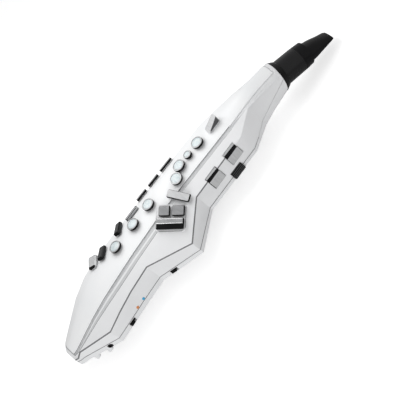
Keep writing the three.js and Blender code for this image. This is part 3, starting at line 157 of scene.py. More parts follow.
def relief(tree, value, depth, edge):
    bump = tree.nodes.new("ShaderNodeBump")
    bump.inputs["Strength"].default_value = 1
    bump.inputs["Distance"].default_value = depth
    tree.links.new(value, bump.inputs["Height"])
    if edge > 0:
        corner = tree.nodes.new("ShaderNodeBevel")
        corner.samples = BEVEL_SAMPLES
        corner.inputs["Radius"].default_value = edge
        tree.links.new(corner.outputs["Normal"], bump.inputs["Normal"])
    return bump.outputs["Normal"]


def finish(name, dark, light, roughness, metallic=0, patch=25, grain=1500, depth=12, edge=0.4,
           coat=0, stretch=(1, 1, 1), specular=0.5):
    """Colour drifts with the patch noise, roughness with the smudges, and the grain is relief.

    The grain's depth is in microns, and the radius that softens the edges in millimetres.
    """
    material = bpy.data.materials.new(name)
    material.use_nodes = True
    tree = material.node_tree
    shader = tree.nodes["Principled BSDF"]
    shader.inputs["Metallic"].default_value = metallic
    shader.inputs["Specular IOR Level"].default_value = specular
    shader.inputs["Coat Weight"].default_value = coat
    shader.inputs["Coat Roughness"].default_value = COAT_ROUGHNESS
    colour = tinted(tree, noise(tree, patch, stretch=stretch), dark, light)
    tree.links.new(colour, shader.inputs["Base Color"])
    smudges = ranged(tree, noise(tree, SMUDGE_SCALE, stretch=stretch), *roughness)
    tree.links.new(smudges, shader.inputs["Roughness"])
    cut = noise(tree, grain, GRAIN_DETAIL, stretch=stretch)
    tree.links.new(relief(tree, cut, depth * MICRON, edge * MM), shader.inputs["Normal"])
    return material


COAL = (0.003, 0.003, 0.0035), (0.006, 0.006, 0.0065)
plated = {"depth": 4, "edge": 0}
brushed = {"patch": 90, "grain": 900, "depth": 10, "stretch": (1, 5, 1), "edge": 0}

white_shell = finish("white_shell", (0.75, 0.755, 0.765), (0.78, 0.785, 0.795), (0.34, 0.46),
                     edge=0.8, specular=0.35)
# Painted shade: a dark line on eased edges and on the groove's lip
edge_painted_shade = finish("edge_painted_shade", (0.13, 0.132, 0.138), (0.17, 0.172, 0.178), (0.3, 0.42),
                    edge=0)
white_panel = finish("white_panel", (0.83, 0.84, 0.85), (0.86, 0.865, 0.87), (0.3, 0.4),
                     specular=0.3)
# Painted shade: grey for the bed of the groove beside the panel
groove_painted_shade = finish("groove_painted_shade", (0.5, 0.505, 0.515), (0.56, 0.565, 0.575), (0.4, 0.5),
                     edge=0)
# Painted shade: a dark line in the seam between the shells, where only shade falls
seam_painted_shade = finish("seam_painted_shade", (0.1, 0.1, 0.105), (0.14, 0.14, 0.145), (0.6, 0.8),
                     specular=0.2)
satin_plate = finish("satin_plate", (0.17, 0.172, 0.177), (0.23, 0.232, 0.238), (0.34, 0.44),
                     metallic=0.35, **brushed)
light_plate = finish("light_plate", (0.44, 0.445, 0.45), (0.52, 0.525, 0.53), (0.38, 0.48),
                     metallic=0.15, specular=0.3, **brushed)
# Painted shade: a dimmer copy of the plated metal, for the wedge's right face
plate_painted_half_shade = finish("plate_painted_half_shade", (0.055, 0.056, 0.058), (0.075, 0.076, 0.079), (0.28, 0.38),
                     metallic=0.3, **plated)
rim_plate = finish("rim_plate", (0.34, 0.345, 0.35), (0.42, 0.425, 0.43), (0.3, 0.4),
                   metallic=0.7, **plated)
# Painted highlight: a brighter copy of the plated metal, for lines along key edges and ridges
plate_painted_highlight = finish("plate_painted_highlight", (0.5, 0.505, 0.51), (0.58, 0.585, 0.59), (0.2, 0.3),
                      metallic=0.9, **plated)
dark_plate = finish("dark_plate", (0.014, 0.0145, 0.015), (0.026, 0.0265, 0.028), (0.2, 0.32),
                    metallic=0.4, specular=0.2, **plated)
# Painted reflection and shade: a black copy of the plated metal, for the sides of keys and cups
plate_painted_dark_reflection = finish("plate_painted_dark_reflection", (0.004, 0.004, 0.0045), (0.008, 0.008, 0.0085), (0.2, 0.3),
                     specular=0.07, **plated)
# Painted sheen: grey for the faces between the roller's ribs
rib_painted_sheen = finish("rib_painted_sheen", (0.05, 0.0505, 0.052), (0.07, 0.0705, 0.073), (0.3, 0.4),
                  edge=0, specular=0.2)
pearl = finish("pearl", (0.48, 0.56, 0.59), (0.66, 0.7, 0.7), (0.16, 0.26),
               patch=260, coat=0.2, depth=6, stretch=(1, 2.2, 1))
black_plastic = finish("black_plastic", *COAL, (0.34, 0.48), depth=20, specular=0.06)
barrel_black = finish("barrel_black", *COAL, (0.24, 0.32), depth=6, specular=0.22)
black_gloss = finish("black_gloss", *COAL, (0.22, 0.32), specular=0.1)
black_rubber = finish("black_rubber", (0.01, 0.01, 0.01), (0.02, 0.02, 0.02), (0.55, 0.75),
                      depth=40, specular=0.2)
board_green = finish("board_green", (0.02, 0.1, 0.05), (0.03, 0.16, 0.08), (0.35, 0.5))
grey_rubber = finish("grey_rubber", (0.33, 0.34, 0.35), (0.4, 0.41, 0.42), (0.6, 0.75))
plain_steel = finish("plain_steel", (0.45, 0.46, 0.47), (0.58, 0.58, 0.59), (0.2, 0.36),
                     metallic=1, stretch=(1, 1, 6))
cell_sleeve = finish("cell_sleeve", (0.04, 0.06, 0.075), (0.06, 0.085, 0.1), (0.35, 0.5))
smoked_lens = finish("smoked_lens", (0.008, 0.009, 0.011), (0.014, 0.015, 0.018), (0.04, 0.1),
                     coat=0.6)
blue_lamp = finish("blue_lamp", (0.03, 0.3, 0.55), (0.05, 0.4, 0.65), (0.15, 0.25), coat=0.4)
orange_lamp = finish("orange_lamp", (0.6, 0.2, 0.05), (0.7, 0.27, 0.08), (0.15, 0.25), coat=0.4)
tube_clear = finish("tube_clear", (0.6, 0.62, 0.62), (0.72, 0.74, 0.74), (0.3, 0.5))

# Making of pieces: angles in degrees, and tolerances
SHARP_ANGLE = 30
FLAT_ANGLE = 0.6
ROUND_STEPS = 2
ROUND_PROFILE = 0.5
SAME_POINT = 2 * MICRON
TURNED_SAME_POINT = 1 * MICRON
CUT_TOLERANCE = 10 * MICRON


def piece_from(bm, name, materials, body, angle=SHARP_ANGLE):
    """An object from a mesh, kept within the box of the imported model, that rides a body."""
    for point in bm.verts:
        point.co = Vector(min(max(value, low), high)
                          for value, low, high in zip(point.co, cad_low, cad_high))
    for face in bm.faces:
        face.smooth = True
    for edge in bm.edges:
        edge.smooth = edge.calc_face_angle(0) < math.radians(angle)
    mesh = bpy.data.meshes.new(name)
    bm.to_mesh(mesh)
    bm.free()
    for material in materials if isinstance(materials, tuple) else (materials,):
        mesh.materials.append(material)
    piece = bpy.data.objects.new(name, mesh)
    bpy.context.scene.collection.objects.link(piece)
    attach(piece, body)
    return piece


def merged_copy(node):
    bm = bmesh.new()
    bm.from_mesh(frame["nodes"][node].data)
    bmesh.ops.remove_doubles(bm, verts=bm.verts, dist=SAME_POINT)
    bmesh.ops.dissolve_limit(bm, angle_limit=math.radians(FLAT_ANGLE), verts=bm.verts,
                             edges=bm.edges)
    return bm


def refined(node, material, body="body", edge=0, angle=SHARP_ANGLE, shaped=None,
            painted=None):
    """A smoother copy of a solid, shaped, rounded by so many millimetres, and painted."""
    bm = merged_copy(node)
    if shaped:
        shaped(bm)
    if edge > 0:
        sharp = [e for e in bm.edges if e.calc_face_angle(0) > math.radians(angle)]
        bmesh.ops.bevel(bm, geom=sharp, offset=edge * MM, segments=ROUND_STEPS,
                        profile=ROUND_PROFILE, affect="EDGES", clamp_overlap=True, material=-1)
    if painted:
        bm.normal_update()
        painted(bm)
    piece = piece_from(bm, node + "_finished", material, body, angle)
    weighted = piece.modifiers.new("even_shading", "WEIGHTED_NORMAL")
    weighted.keep_sharp = True
    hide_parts(node)


def turned(name, profile, place, material, body, steps=64, painted=None):
    """A turned form from radius and height pairs in millimetres, about the Z axis of its place."""
    bm = bmesh.new()
    points = [bm.verts.new((r * MM, 0, z * MM)) for r, z in profile]
    edges = [bm.edges.new(pair) for pair in zip(points, points[1:])]
    bmesh.ops.spin(bm, geom=points + edges, cent=(0, 0, 0), axis=(0, 0, 1), dvec=(0, 0, 0),
                   angle=2 * math.pi, steps=steps, use_merge=True, use_duplicate=False)
    bmesh.ops.remove_doubles(bm, verts=bm.verts, dist=TURNED_SAME_POINT)
    bmesh.ops.recalc_face_normals(bm, faces=bm.faces)
    bmesh.ops.transform(bm, matrix=place, verts=bm.verts)
    if painted:
        bm.normal_update()
        painted(bm)
    return piece_from(bm, name, material, body)


def place_at(origin, out):
    """A frame whose Z points out, at an origin."""
    spin = Vector((0, 0, 1)).rotation_difference(out.normalized())
    return Matrix.Translation(origin) @ spin.to_matrix().to_4x4()


def middle(node):
    low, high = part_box(node)
    return (low + high) / 2


def axis_of(body):
    return next(Vector(j["axis"]) for j in frame["joints"] if j["child"] == body).normalized()


def by_rise(edge, facing=1):
    """The two faces at an edge, first the one that faces up more, or down for -1."""
    return sorted(edge.link_faces, key=lambda face: -face.normal.z * facing)


def edge_middle(edge):
    return (edge.verts[0].co + edge.verts[1].co) / 2


def long_edges(bm, least):
    """The edges between two faces, from a least length in millimetres."""
    return [edge for edge in bm.edges
            if len(edge.link_faces) == 2 and edge.calc_length() >= least * MM]


def eased(bm, line, offset, material, segments=1):
    """The edges of a line that are still there are cut back by an offset in millimetres."""
    bmesh.ops.bevel(bm, geom=[edge for edge in line if edge.is_valid], offset=offset * MM,
                    segments=segments, profile=ROUND_PROFILE, affect="EDGES",
                    clamp_overlap=False, material=material)


press_of = {joint["child"]: -Vector(joint["axis"]) for joint in frame["joints"]}

# Housing: numbers of the materials, and the angle in degrees of its sharp edges; EDGE and the
# seam's and the groove's numbers are painted shade
WHITE, EDGE, SEAM_SHADE, GROOVE_SHADE = range(4)
PANEL_EDGE = REAR_SEAM_SHADE = 1
SHELL_SHARP = 24

# Lengths of edges, widths that they are eased by, and places on the body, in millimetres
LEAST_EDGE = 2.5
LEAST_SEAM_EDGE = 1.2
LEAST_GROOVE_EDGE = 8
DARK_WIDTH = 1.1
SOFT_WIDTH = 0.8
LIP_WIDTH = 0.65
PANEL_WIDTH = 0.6
SEAM_WIDTH = 0.4
CREASE_WIDTH = 0.3
SEAM_LEVEL = -43
SPINE_X = 10
SPINE_Y = 60, 420
TALL = 5
GROOVE_X = 8, 38
DARK_EDGE_END = 345
LIP_END = 380
GROOVE_END = 385
GROOVE_SHADE_END = 390

# How the faces there lie, by the parts of their normals
FRONT_RISE = 0.7
FRONT_LEAN = 0.3
SIDE_RISE = 0.05, 0.6
GROOVE_FACING = -0.9
LIP_FACING = -0.6
PANEL_FACING = 0.8
PANEL_WALL_RISE = 0.4
SEAM_FLAT = 0.95
SEAM_WALL_RISE = 0.9
SAME_LEVEL = 0.98
seam_z = on_body(0, 0, SEAM_LEVEL).z


def tall(face):
    heights = [corner.co.z for corner in face.verts]
    return max(heights) - min(heights) > TALL * MM


def seam_line(bm, facing):
    """Outer edges of one half of the housing along the seam, facing down (-1) or up (1)."""
    line = []
    for edge in long_edges(bm, LEAST_SEAM_EDGE):
        rim, wall = by_rise(edge, facing)
        here = edge_middle(edge)
        start, end = [row.y + y * MM for y in SPINE_Y]
        spine = Vector((row.x + SPINE_X * MM, min(max(here.y, start), end), here.z))
        outside = wall.normal.dot(here - spine) > 0
        square = rim.normal.z * facing > SEAM_FLAT and abs(wall.normal.z) < SEAM_WALL_RISE
        if edge.is_convex and square and outside and abs(here.z - seam_z) < MM:
            line.append(edge)
    return line


def dress_front(bm):
    """The right edge of the front face, the lip of the panel's groove and the seam are eased, and
    their eased faces are painted dark as painted shade; towards the neck they are eased only.
    The bed of the groove is painted grey as painted shade."""
    right, upper, lip, soft = [], [], [], []
    for edge in long_edges(bm, LEAST_EDGE):
        top, side = by_rise(edge)
        if top.normal.z <= FRONT_RISE:
            continue
        here = edge_middle(edge) - row
        if not edge.is_convex:
            start = edge.verts[0].co - row
            in_groove = start.x < GROOVE_X[1] * MM and start.y < GROOVE_END * MM
            # Painted shade: the groove's bed is painted grey
            if side.normal.x < GROOVE_FACING and in_groove:
                top.material_index = GROOVE_SHADE
        elif (top.normal.x > FRONT_LEAN and SIDE_RISE[0] < side.normal.z < SIDE_RISE[1]
              and tall(side)):
            (right if here.y < DARK_EDGE_END * MM else upper).append(edge)
        elif side.normal.x < LIP_FACING and GROOVE_X[0] * MM < here.x < GROOVE_X[1] * MM:
            (lip if here.y < LIP_END * MM else soft).append(edge)
    shade_groove_bed(bm)
    creases = crease_beside_groove(bm)
    seam = seam_line(bm, -1)
    eased(bm, creases, CREASE_WIDTH, EDGE)
    eased(bm, right, DARK_WIDTH, EDGE, ROUND_STEPS)
    eased(bm, upper, SOFT_WIDTH, WHITE, ROUND_STEPS)
    eased(bm, lip, LIP_WIDTH, EDGE)
    eased(bm, soft, SOFT_WIDTH, WHITE, ROUND_STEPS)
    eased(bm, seam, SEAM_WIDTH, SEAM_SHADE)


def shade_groove_bed(bm):
    """The groove's painted shade, grey, spreads over the flat of its bed, up to the neck."""
    end = row.y + GROOVE_SHADE_END * MM
    reached = [face for face in bm.faces if face.material_index == GROOVE_SHADE]
    while reached:
        face = reached.pop()
        for edge in face.edges:
            for other in edge.link_faces:
                level = other.normal.dot(face.normal) > SAME_LEVEL
                if level and other.calc_center_median().y < end and other.material_index != GROOVE_SHADE:
                    other.material_index = GROOVE_SHADE
                    reached.append(other)


# From the groove to the crease beside it, in millimetres, by the place along the body; the face
# there is cut at each share of that gap
CREASE_GAP = {5: 1, 13: 2, 64: 5.4, 93: 6.8, 124: 7.2, 163: 6.8, 214: 6}
CREASE_START = 20
CREASE_END = 216
CREASE_CUTS = 0.45, 1


def crease_gap(y):
    places = sorted(CREASE_GAP)
    low = max([p for p in places if p <= y] or [places[0]])
    high = min([p for p in places if p >= y] or [places[-1]])
    if low == high:
        return CREASE_GAP[low]
    return CREASE_GAP[low] + (CREASE_GAP[high] - CREASE_GAP[low]) * (y - low) / (high - low)


def crease_beside_groove(bm):
    """A fine line of painted shade on the wing's front runs beside the groove and meets it at the
    bell; the strip along it is painted grey as painted shade."""
    starts = []
    for edge in long_edges(bm, LEAST_GROOVE_EDGE):
        top, side = by_rise(edge)
        a, b = [(corner.co - row) / MM for corner in edge.verts]
        along_groove = CREASE_START < a.x < GROOVE_X[1] and max(a.y, b.y) < CREASE_END
        square = top.normal.z > FRONT_RISE and side.normal.x < GROOVE_FACING
        if edge.is_convex and square and along_groove:
            starts.append((top, a.copy(), b.copy()))
    creases = []
    for top, a, b in starts:
        for share in CREASE_CUTS:
            if not top.is_valid:
                break
            p = Vector((a.x + crease_gap(a.y) * share, a.y, 0))
            q = Vector((b.x + crease_gap(b.y) * share, b.y, 0))
            line = (q - p).normalized()
            normal = Vector((line.y, -line.x, 0))
            if line.y <= 0:
                normal.negate()
            made = bmesh.ops.bisect_plane(bm, geom=[top] + top.edges[:] + top.verts[:],
                                          dist=CUT_TOLERANCE, plane_co=row + p * MM,
                                          plane_no=normal)
            parts = [f for f in made["geom"] if isinstance(f, bmesh.types.BMFace) and f.is_valid]
            outer = [f for f in parts
                     if (f.calc_center_median() - row - p * MM).dot(normal) > 0]
            if share == 1:
                creases += [e for e in made["geom_cut"] if isinstance(e, bmesh.types.BMEdge)]
                for face in parts:
                    if face not in outer:
                        face.material_index = GROOVE_SHADE
            if outer:
                top = max(outer, key=lambda f: f.calc_area())
    return creases


def dress_rear(bm):
    # The seam's outer edge is eased, and the eased face is painted dark as the seam's shade
    eased(bm, seam_line(bm, 1), SEAM_WIDTH, REAR_SEAM_SHADE)


def dress_panel(bm):
    """The panel's right edge is a chamfer painted dark as painted shade beside the groove, and a
    white one at the neck."""
    edge_line, neck_line = [], []
    for edge in long_edges(bm, LEAST_EDGE):
        top, side = by_rise(edge)
        upright = side.normal.x > PANEL_FACING and abs(side.normal.z) < PANEL_WALL_RISE
        beside = edge_middle(edge).x - row.x > GROOVE_X[0] * MM
        if edge.is_convex and top.normal.z > FRONT_RISE and upright and beside:
            far_end = max(corner.co.y for corner in edge.verts)
            (neck_line if far_end > row.y + GROOVE_END * MM else edge_line).append(edge)
    eased(bm, edge_line, PANEL_WIDTH, PANEL_EDGE)
    eased(bm, neck_line, SOFT_WIDTH, WHITE, ROUND_STEPS)


refined("front_shell", (white_shell, edge_painted_shade, seam_painted_shade, groove_painted_shade),
        angle=SHELL_SHARP, shaped=dress_front)
refined("rear_shell", (white_shell, seam_painted_shade), angle=SHELL_SHARP,
        shaped=dress_rear)
refined("front_panel", (white_panel, edge_painted_shade), angle=SHELL_SHARP,
        shaped=dress_panel)
refined("battery_cover", white_shell, "battery_cover")

# Round keys: a plated cup with a rolled rim, and a domed touch piece, in millimetres; a face
# whose normal runs outward by more than CUP_OUTWARD is the cup's rim
CUP_OUTWARD = 0.5
CUP_RADIUS = 9.2
SMALL_CUP_RADIUS = 6.4
CUP_WALL = 1.7
PEARL_MIDDLE = 6.5
TOUCH_GAP = 0.3

for key in ("key_1", "key_bis", "key_2", "key_3", "key_4", "key_5", "key_6"):
    radius = SMALL_CUP_RADIUS if key == "key_bis" else CUP_RADIUS
    pocket = radius - CUP_WALL
    out = press_of[key]
    origin = middle(key + "_pearl") - out * PEARL_MIDDLE * MM

    # Painted reflection: the rim takes the lit plate and the wall is painted black
    def rim_and_wall(bm):
        for face in bm.faces:
            face.material_index = 0 if face.normal.dot(out) > CUP_OUTWARD else 1

    cup = turned(key + "_cup", [
        (0, -1.5), (3.5, -1.5), (3.5, 2.3), (radius - 1, 2.3), (radius - 0.4, 2.45),
        (radius - 0.1, 2.8), (radius, 3.3), (radius, 6.1), (radius - 0.12, 6.55),
        (radius - 0.45, 6.88), (radius - 0.85, 7), (pocket + 0.35, 7), (pocket + 0.1, 6.9),
        (pocket, 6.65), (pocket, 5.4), (0, 5.4),
    ], place_at(origin, out), (rim_plate, plate_painted_dark_reflection), key, painted=rim_and_wall)
    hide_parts(key + "_cap")
    rim = pocket - TOUCH_GAP
    touch = turned(key + "_touch", [
        (0, 5.7), (rim, 5.7), (rim, 6.45), (rim - 0.12, 6.7), (rim * 0.85, 6.95),
        (rim * 0.6, 7.14), (rim * 0.3, 7.26), (0, 7.3),
    ], place_at(origin, out), pearl, key)
    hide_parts(key + "_pearl")

# Keys of other shapes: lighter and darker copies of the plated metal stand in for reflection and
# shade. The rounded edge takes one finish towards the wing and the bell, and another elsewhere;
# the stem is white. Shares of the key's height, then parts of the normals
TOP, ROUNDED, WING_ROUNDED, SIDE, HALF_SHADE, HIGHLIGHT, STEM = range(7)
STEM_SHARE = 0.46
HEAD_SHARE = 0.7
OUTWARD = 0.8
CROWN_LIKE = 0.96
ROUNDED_LIKE = 0.3
LEAST_TILT = 0.22
LEAST_WING_FACING = 0.35
WEDGE_RIGHT = 0.45
WEDGE_END = -0.75
wing_side = Vector((0.87, 0.49, 0))
bell_side = Vector((0.74, -0.67, 0))


def key_piece(node, top, edge, wing_edge, side, rounding=0.5, shaped=None, painted=None):
    out = press_of[node]

    def by_slope(bm):
        tops = [face for face in bm.faces if face.normal.dot(out) > OUTWARD]
        crown = max(tops, key=lambda face: face.calc_area()).normal.copy()
        heights = [point.co.dot(out) for point in bm.verts]
        stem_top = min(heights) + (max(heights) - min(heights)) * STEM_SHARE
        # Painted reflection and shade: each face's finish follows how it lies to the crown, wing
        # and bell
        for face in bm.faces:
            rise = face.normal.dot(crown)
            if rise > CROWN_LIKE:
                face.material_index = TOP
            elif rise > ROUNDED_LIKE:
                tilt = face.normal - crown
                wards = max(tilt.dot(wing_side), tilt.dot(bell_side))
                face.material_index = WING_ROUNDED if wards > LEAST_TILT else ROUNDED
            else:
                face.material_index = SIDE
        if painted:
            painted(bm)
        for face in bm.faces:
            if face.calc_center_median().dot(out) < stem_top:
                face.material_index = STEM

    finishes = (top, edge, wing_edge, side, plate_painted_half_shade, plate_painted_highlight, white_shell)
    refined(node, finishes, node, edge=rounding, shaped=shaped, painted=by_slope)


def slope_down(node, fall):
    """The key's top falls towards the wing's side, and all below it stays."""
    out = press_of[node]
    across = Vector((1, 0, 0))
    across = (across - out * across.dot(out)).normalized()

    def tilted(bm):
        start = min(point.co.dot(across) for point in bm.verts)
        heights = [point.co.dot(out) for point in bm.verts]
        foot, head = min(heights), max(heights)
        for point in bm.verts:
            if point.co.dot(out) > foot + (head - foot) * HEAD_SHARE:
                point.co -= out * (point.co.dot(across) - start) * fall

    return tilted


def wall_as_top(bm):
    """Painted light: the wall and the edge towards the wing take the top's finish, lit like the
    top.
    """
    for face in bm.faces:
        towards = face.normal.dot(wing_side)
        wingward = towards > LEAST_WING_FACING and towards > face.normal.dot(bell_side)
        if face.material_index in (WING_ROUNDED, SIDE) and wingward:
            face.material_index = TOP


def wedge_faces(bm):
    """Painted shade: the wedge is darker to the right and black at its lower end, and light
    elsewhere.
    """
    for face in bm.faces:
        if face.normal.x > WEDGE_RIGHT:
            face.material_index = HALF_SHADE
        else:
            face.material_index = SIDE if face.normal.y < WEDGE_END else TOP


# Painted reflection and shade: each key below takes its finishes by how its faces lie
key_piece("low_c_key", light_plate, light_plate, plate_painted_dark_reflection, plate_painted_dark_reflection,
          rounding=0.4, shaped=slope_down("low_c_key", fall=0.3), painted=wall_as_top)
key_piece("slim_key", rim_plate, light_plate, plate_painted_dark_reflection, plate_painted_dark_reflection,
          painted=wall_as_top)
key_piece("g_sharp_table_key", light_plate, plate_painted_highlight, plate_painted_dark_reflection, plate_painted_dark_reflection,
          rounding=1)
for key in ("low_b_key", "low_c_sharp_key"):
    key_piece(key, satin_plate, satin_plate, plate_painted_dark_reflection, plate_painted_dark_reflection, rounding=1.1)
for key in ("octave_key_1", "octave_key_2"):
    key_piece(key, satin_plate, plate_painted_highlight, plate_painted_highlight, plate_painted_dark_reflection,
              rounding=0.4)
for key in ("side_key_1", "side_key_2", "side_key_3"):
    key_piece(key, light_plate, light_plate, black_gloss, black_gloss,
              rounding=0.35)
for key in ("g_sharp_key", "low_e_flat_key"):
    key_piece(key, dark_plate, dark_plate, plate_painted_dark_reflection, plate_painted_dark_reflection,
              rounding=0.35, painted=wall_as_top)
key_piece("front_f_key", light_plate, light_plate, plate_painted_dark_reflection, plate_painted_dark_reflection,
          rounding=0.35, painted=wedge_faces)

# The long table key has a ridge along its top; lengths in millimetres, the angle in radians
RIDGE_HEIGHT = 0.8
RIDGE_NEAR = 0.3
LEAST_RIDGE_EDGE = 4
LEAST_RIDGE_ANGLE = 0.1
RIDGE_LINE_WIDTH = 0.45
LEAST_LEAN = 0.03
ridge_out = press_of["low_b_flat_key"]


def long_key_axes(bm):
    top = max(bm.faces,
              key=lambda face: face.calc_area() * (face.normal.dot(ridge_out) > CROWN_LIKE))
    edge = max(top.edges, key=lambda side: side.calc_length())
    along = (edge.verts[1].co - edge.verts[0].co).normalized()
    across = ridge_out.cross(along).normalized()
    return top.calc_center_median(), -across if across.x < 0 else across


def raise_ridge(bm):
    centre, across = long_key_axes(bm)
    cut = bmesh.ops.bisect_plane(bm, geom=bm.verts[:] + bm.edges[:] + bm.faces[:], dist=MICRON,
                                 plane_co=centre, plane_no=across)["geom_cut"]
    for point in cut:
        if isinstance(point, bmesh.types.BMVert):
            if abs((point.co - centre).dot(ridge_out)) < RIDGE_NEAR * MM:
                point.co += ridge_out * RIDGE_HEIGHT * MM


def darker_slope(bm):
    """Painted reflection: black below the ridge, with a painted highlight line along it."""
    ridge = [edge for edge in long_edges(bm, LEAST_RIDGE_EDGE)
             if all(face.material_index == TOP for face in edge.link_faces)
             and edge.is_convex and edge.calc_face_angle(0) > LEAST_RIDGE_ANGLE]
    for face in bm.faces:
        if face.material_index == TOP and face.normal.x - ridge_out.x > LEAST_LEAN:
            face.material_index = SIDE
    eased(bm, ridge, RIDGE_LINE_WIDTH, HIGHLIGHT)


key_piece("low_b_flat_key", satin_plate, light_plate, plate_painted_dark_reflection, plate_painted_dark_reflection,
          rounding=1.3, shaped=raise_ridge, painted=darker_slope)

# Palm keys: numbers of the materials, the fold's range of rise, and the share of it in black,
# which is painted dark reflection
PALM_LIGHT, PALM_LINE, PALM_BLACK = range(3)
FOLD_RISE = 0.55, 0.86
FOLD_BLACK = 0.66
FOLD_TILT = 0.3
SAME_SLOPE = 0.999
PALM_ENDS = -0.3, 0.7
PALM_SIDE = 0.97


def palm_faces(bm):
    """Painted reflection on the plated key, from the front round to the side: a light strip, a
    black fold, a painted highlight line and a light face."""
    least, most = FOLD_RISE
    folds = [face for face in bm.faces
             if least < face.normal.z <= most and abs(face.normal.y) < FOLD_TILT]
    fold = max(folds, key=lambda face: face.calc_area() * (face.normal.x > 0))
    rising = Vector((0, 1, 0)).cross(fold.normal).normalized()
    if rising.z < 0:
        rising.negate()
    heights = [corner.co.dot(rising) for corner in fold.verts]
    level = min(heights) + (max(heights) - min(heights)) * FOLD_BLACK
    slope = fold.normal.copy()
    bmesh.ops.bisect_plane(bm, geom=[fold] + fold.edges[:] + fold.verts[:],
                           dist=CUT_TOLERANCE, plane_co=rising * level, plane_no=rising)
    for face in bm.faces:
        n = face.normal
        if n.x < 0 or not PALM_ENDS[0] <= n.y <= PALM_ENDS[1]:
            face.material_index = PALM_BLACK
        elif least < n.z <= most:
            upper = face.calc_center_median().dot(rising) > level
            light = upper and n.dot(slope) > SAME_SLOPE
            face.material_index = PALM_LIGHT if light else PALM_BLACK
        else:
            face.material_index = PALM_LIGHT if n.z > most or n.x > PALM_SIDE else PALM_LINE


for key in ("palm_key_1", "palm_key_2"):
    refined(key, (light_plate, plate_painted_highlight, plate_painted_dark_reflection), key, edge=0.8,
            painted=palm_faces)

# Roller, switches, jack; the valleys between the roller's ribs, painted grey as a painted sheen,
# by their depth in millimetres
VALLEY_DEPTH = 0.25, 1.6
VALLEY_TILT = 0.3
roller_axis = axis_of("volume_roller")
roller_middle = middle("volume_roller")


def roller_reach(face):
    arm = face.calc_center_median() - roller_middle
    return (arm - roller_axis * arm.dot(roller_axis)).length


def rib_valleys(bm):
    """The faces between the ribs are painted greyer, a painted sheen that shows the ribs."""
    far = max(roller_reach(face) for face in bm.faces)
    shallow, deep = [far - depth * MM for depth in VALLEY_DEPTH]
    for face in bm.faces:
        level = abs(face.normal.dot(roller_axis)) < VALLEY_TILT
        if level and deep < roller_reach(face) < shallow:
            face.material_index = 1


refined("volume_roller", (black_plastic, rib_painted_sheen), "volume_roller", edge=0.15,
        painted=rib_valleys)
for part in ("power_switch", "side_switch"):
    refined(part, black_plastic, part, edge=0.3)
refined("phones_jack", black_gloss)

# Two lamps beside the seam on the right side
LAMP_LEVEL = -40.6
CLEAR_OF_WALL = 140
LAMP_PROFILE = [(0, -0.4), (2.2, -0.4), (2.2, 0.25), (2, 0.45), (1.4, 0.62), (0, 0.7)]
LAMP_STEPS = 32
skin = BVHTree.FromBMesh(merged_copy("front_shell"))
for lamp, along, colour in (("blue_lamp_dome", 126, blue_lamp),
                            ("orange_lamp_dome", 112, orange_lamp)):
    hit, wall = skin.ray_cast(on_body(CLEAR_OF_WALL, along, LAMP_LEVEL), Vector((-1, 0, 0)))[:2]
    turned(lamp, LAMP_PROFILE, place_at(hit, wall), colour, "body", LAMP_STEPS)

# Mouthpiece: millimetres and degrees
NECK_END = (0, 478, -36.6)
TUBE_STEPS = 96
BARREL_END = 42.27
BEAK_START = 42
TIP_LENGTH = 2
BEAK_SHARP = 32
BEAK_SWELL = 0.18
SWELL_TURN = 2
neck_place = place_at(on_body(*NECK_END), axis_of("mouthpiece"))
collar = turned("neck_collar_finished", [
    (3.3, -4.6), (12.6, -4.6), (12.6, 0.3), (23.5, 0.3), (23.8, 0.6), (23.8, 1.3), (23.3, 2.2),
    (21.2, 6.8), (20.1, 8.8), (19.6, 9.2), (19.4, 9), (19.4, 6), (11, 6), (11, 22), (10.6, 22),
    (3.3, 22), (3.3, -4.6),
], neck_place, black_gloss, "body", TUBE_STEPS)
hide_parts("neck_collar")
barrel = turned("mouthpiece_barrel_finished", [
    (11.3, 6.3), (18.8, 6.3), (19.15, 6.6), (19.2, 7.2), (18.7, 40.5), (18.4, 40.8),
    (18.1, 40.8), (18.1, BARREL_END), (4, BARREL_END), (4, 22.4), (11.3, 22.4), (11.3, 6.3),
], neck_place, barrel_black, "mouthpiece", TUBE_STEPS)
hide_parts("mouthpiece_barrel")
beak_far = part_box("mouthpiece_beak")[1].y
beak_root = neck_place @ Vector((0, 0, BEAK_START * MM))
tip_points = [point.co for point in frame["nodes"]["mouthpiece_beak"].data.vertices
              if point.co.y > beak_far - TIP_LENGTH * MM]
beak_tip = sum(tip_points, Vector()) / len(tip_points)


def fuller(bm):
    """The beak swells a little towards its tip, about the line from its root to its tip."""
    line = beak_tip - beak_root
    length = line.length
    line.normalize()
    for point in bm.verts:
        reach = (point.co - beak_root).dot(line)
        core = beak_root + line * reach
        share = min(max(reach / length, 0), 1)
        point.co = core + (point.co - core) * (1 + BEAK_SWELL * math.sin(share * SWELL_TURN))


refined("mouthpiece_beak", black_gloss, "mouthpiece", angle=BEAK_SHARP,
        shaped=fuller)
refined("reed", black_plastic, "mouthpiece", edge=0.2, shaped=fuller)

# Back fittings
RING_SHARP = 60
refined("thumb_hook", black_plastic, "thumb_hook", edge=0.8)
refined("thumb_rest", black_rubber)
for part in ("menu_button_down", "menu_button_up"):
    refined(part, black_plastic, part)
refined("strap_ring", plain_steel, "strap_ring", angle=RING_SHARP)

# Inner pieces keep their solids
inner = {
    "display_lens": smoked_lens, "speaker_1": black_plastic, "speaker_2": black_plastic,
    "breath_sensor": black_plastic, "breath_tube": tube_clear, "main_board": board_green,
    "key_board": board_green, "key_contact_sheet": grey_rubber, "battery_pack": cell_sleeve,
    "case_screw_1": plain_steel, "case_screw_2": plain_steel, "case_screw_3": plain_steel,
    "case_screw_4": plain_steel,
}
for node, material in inner.items():
    mesh = frame["nodes"][node].data
    mesh.materials.clear()
    mesh.materials.append(material)

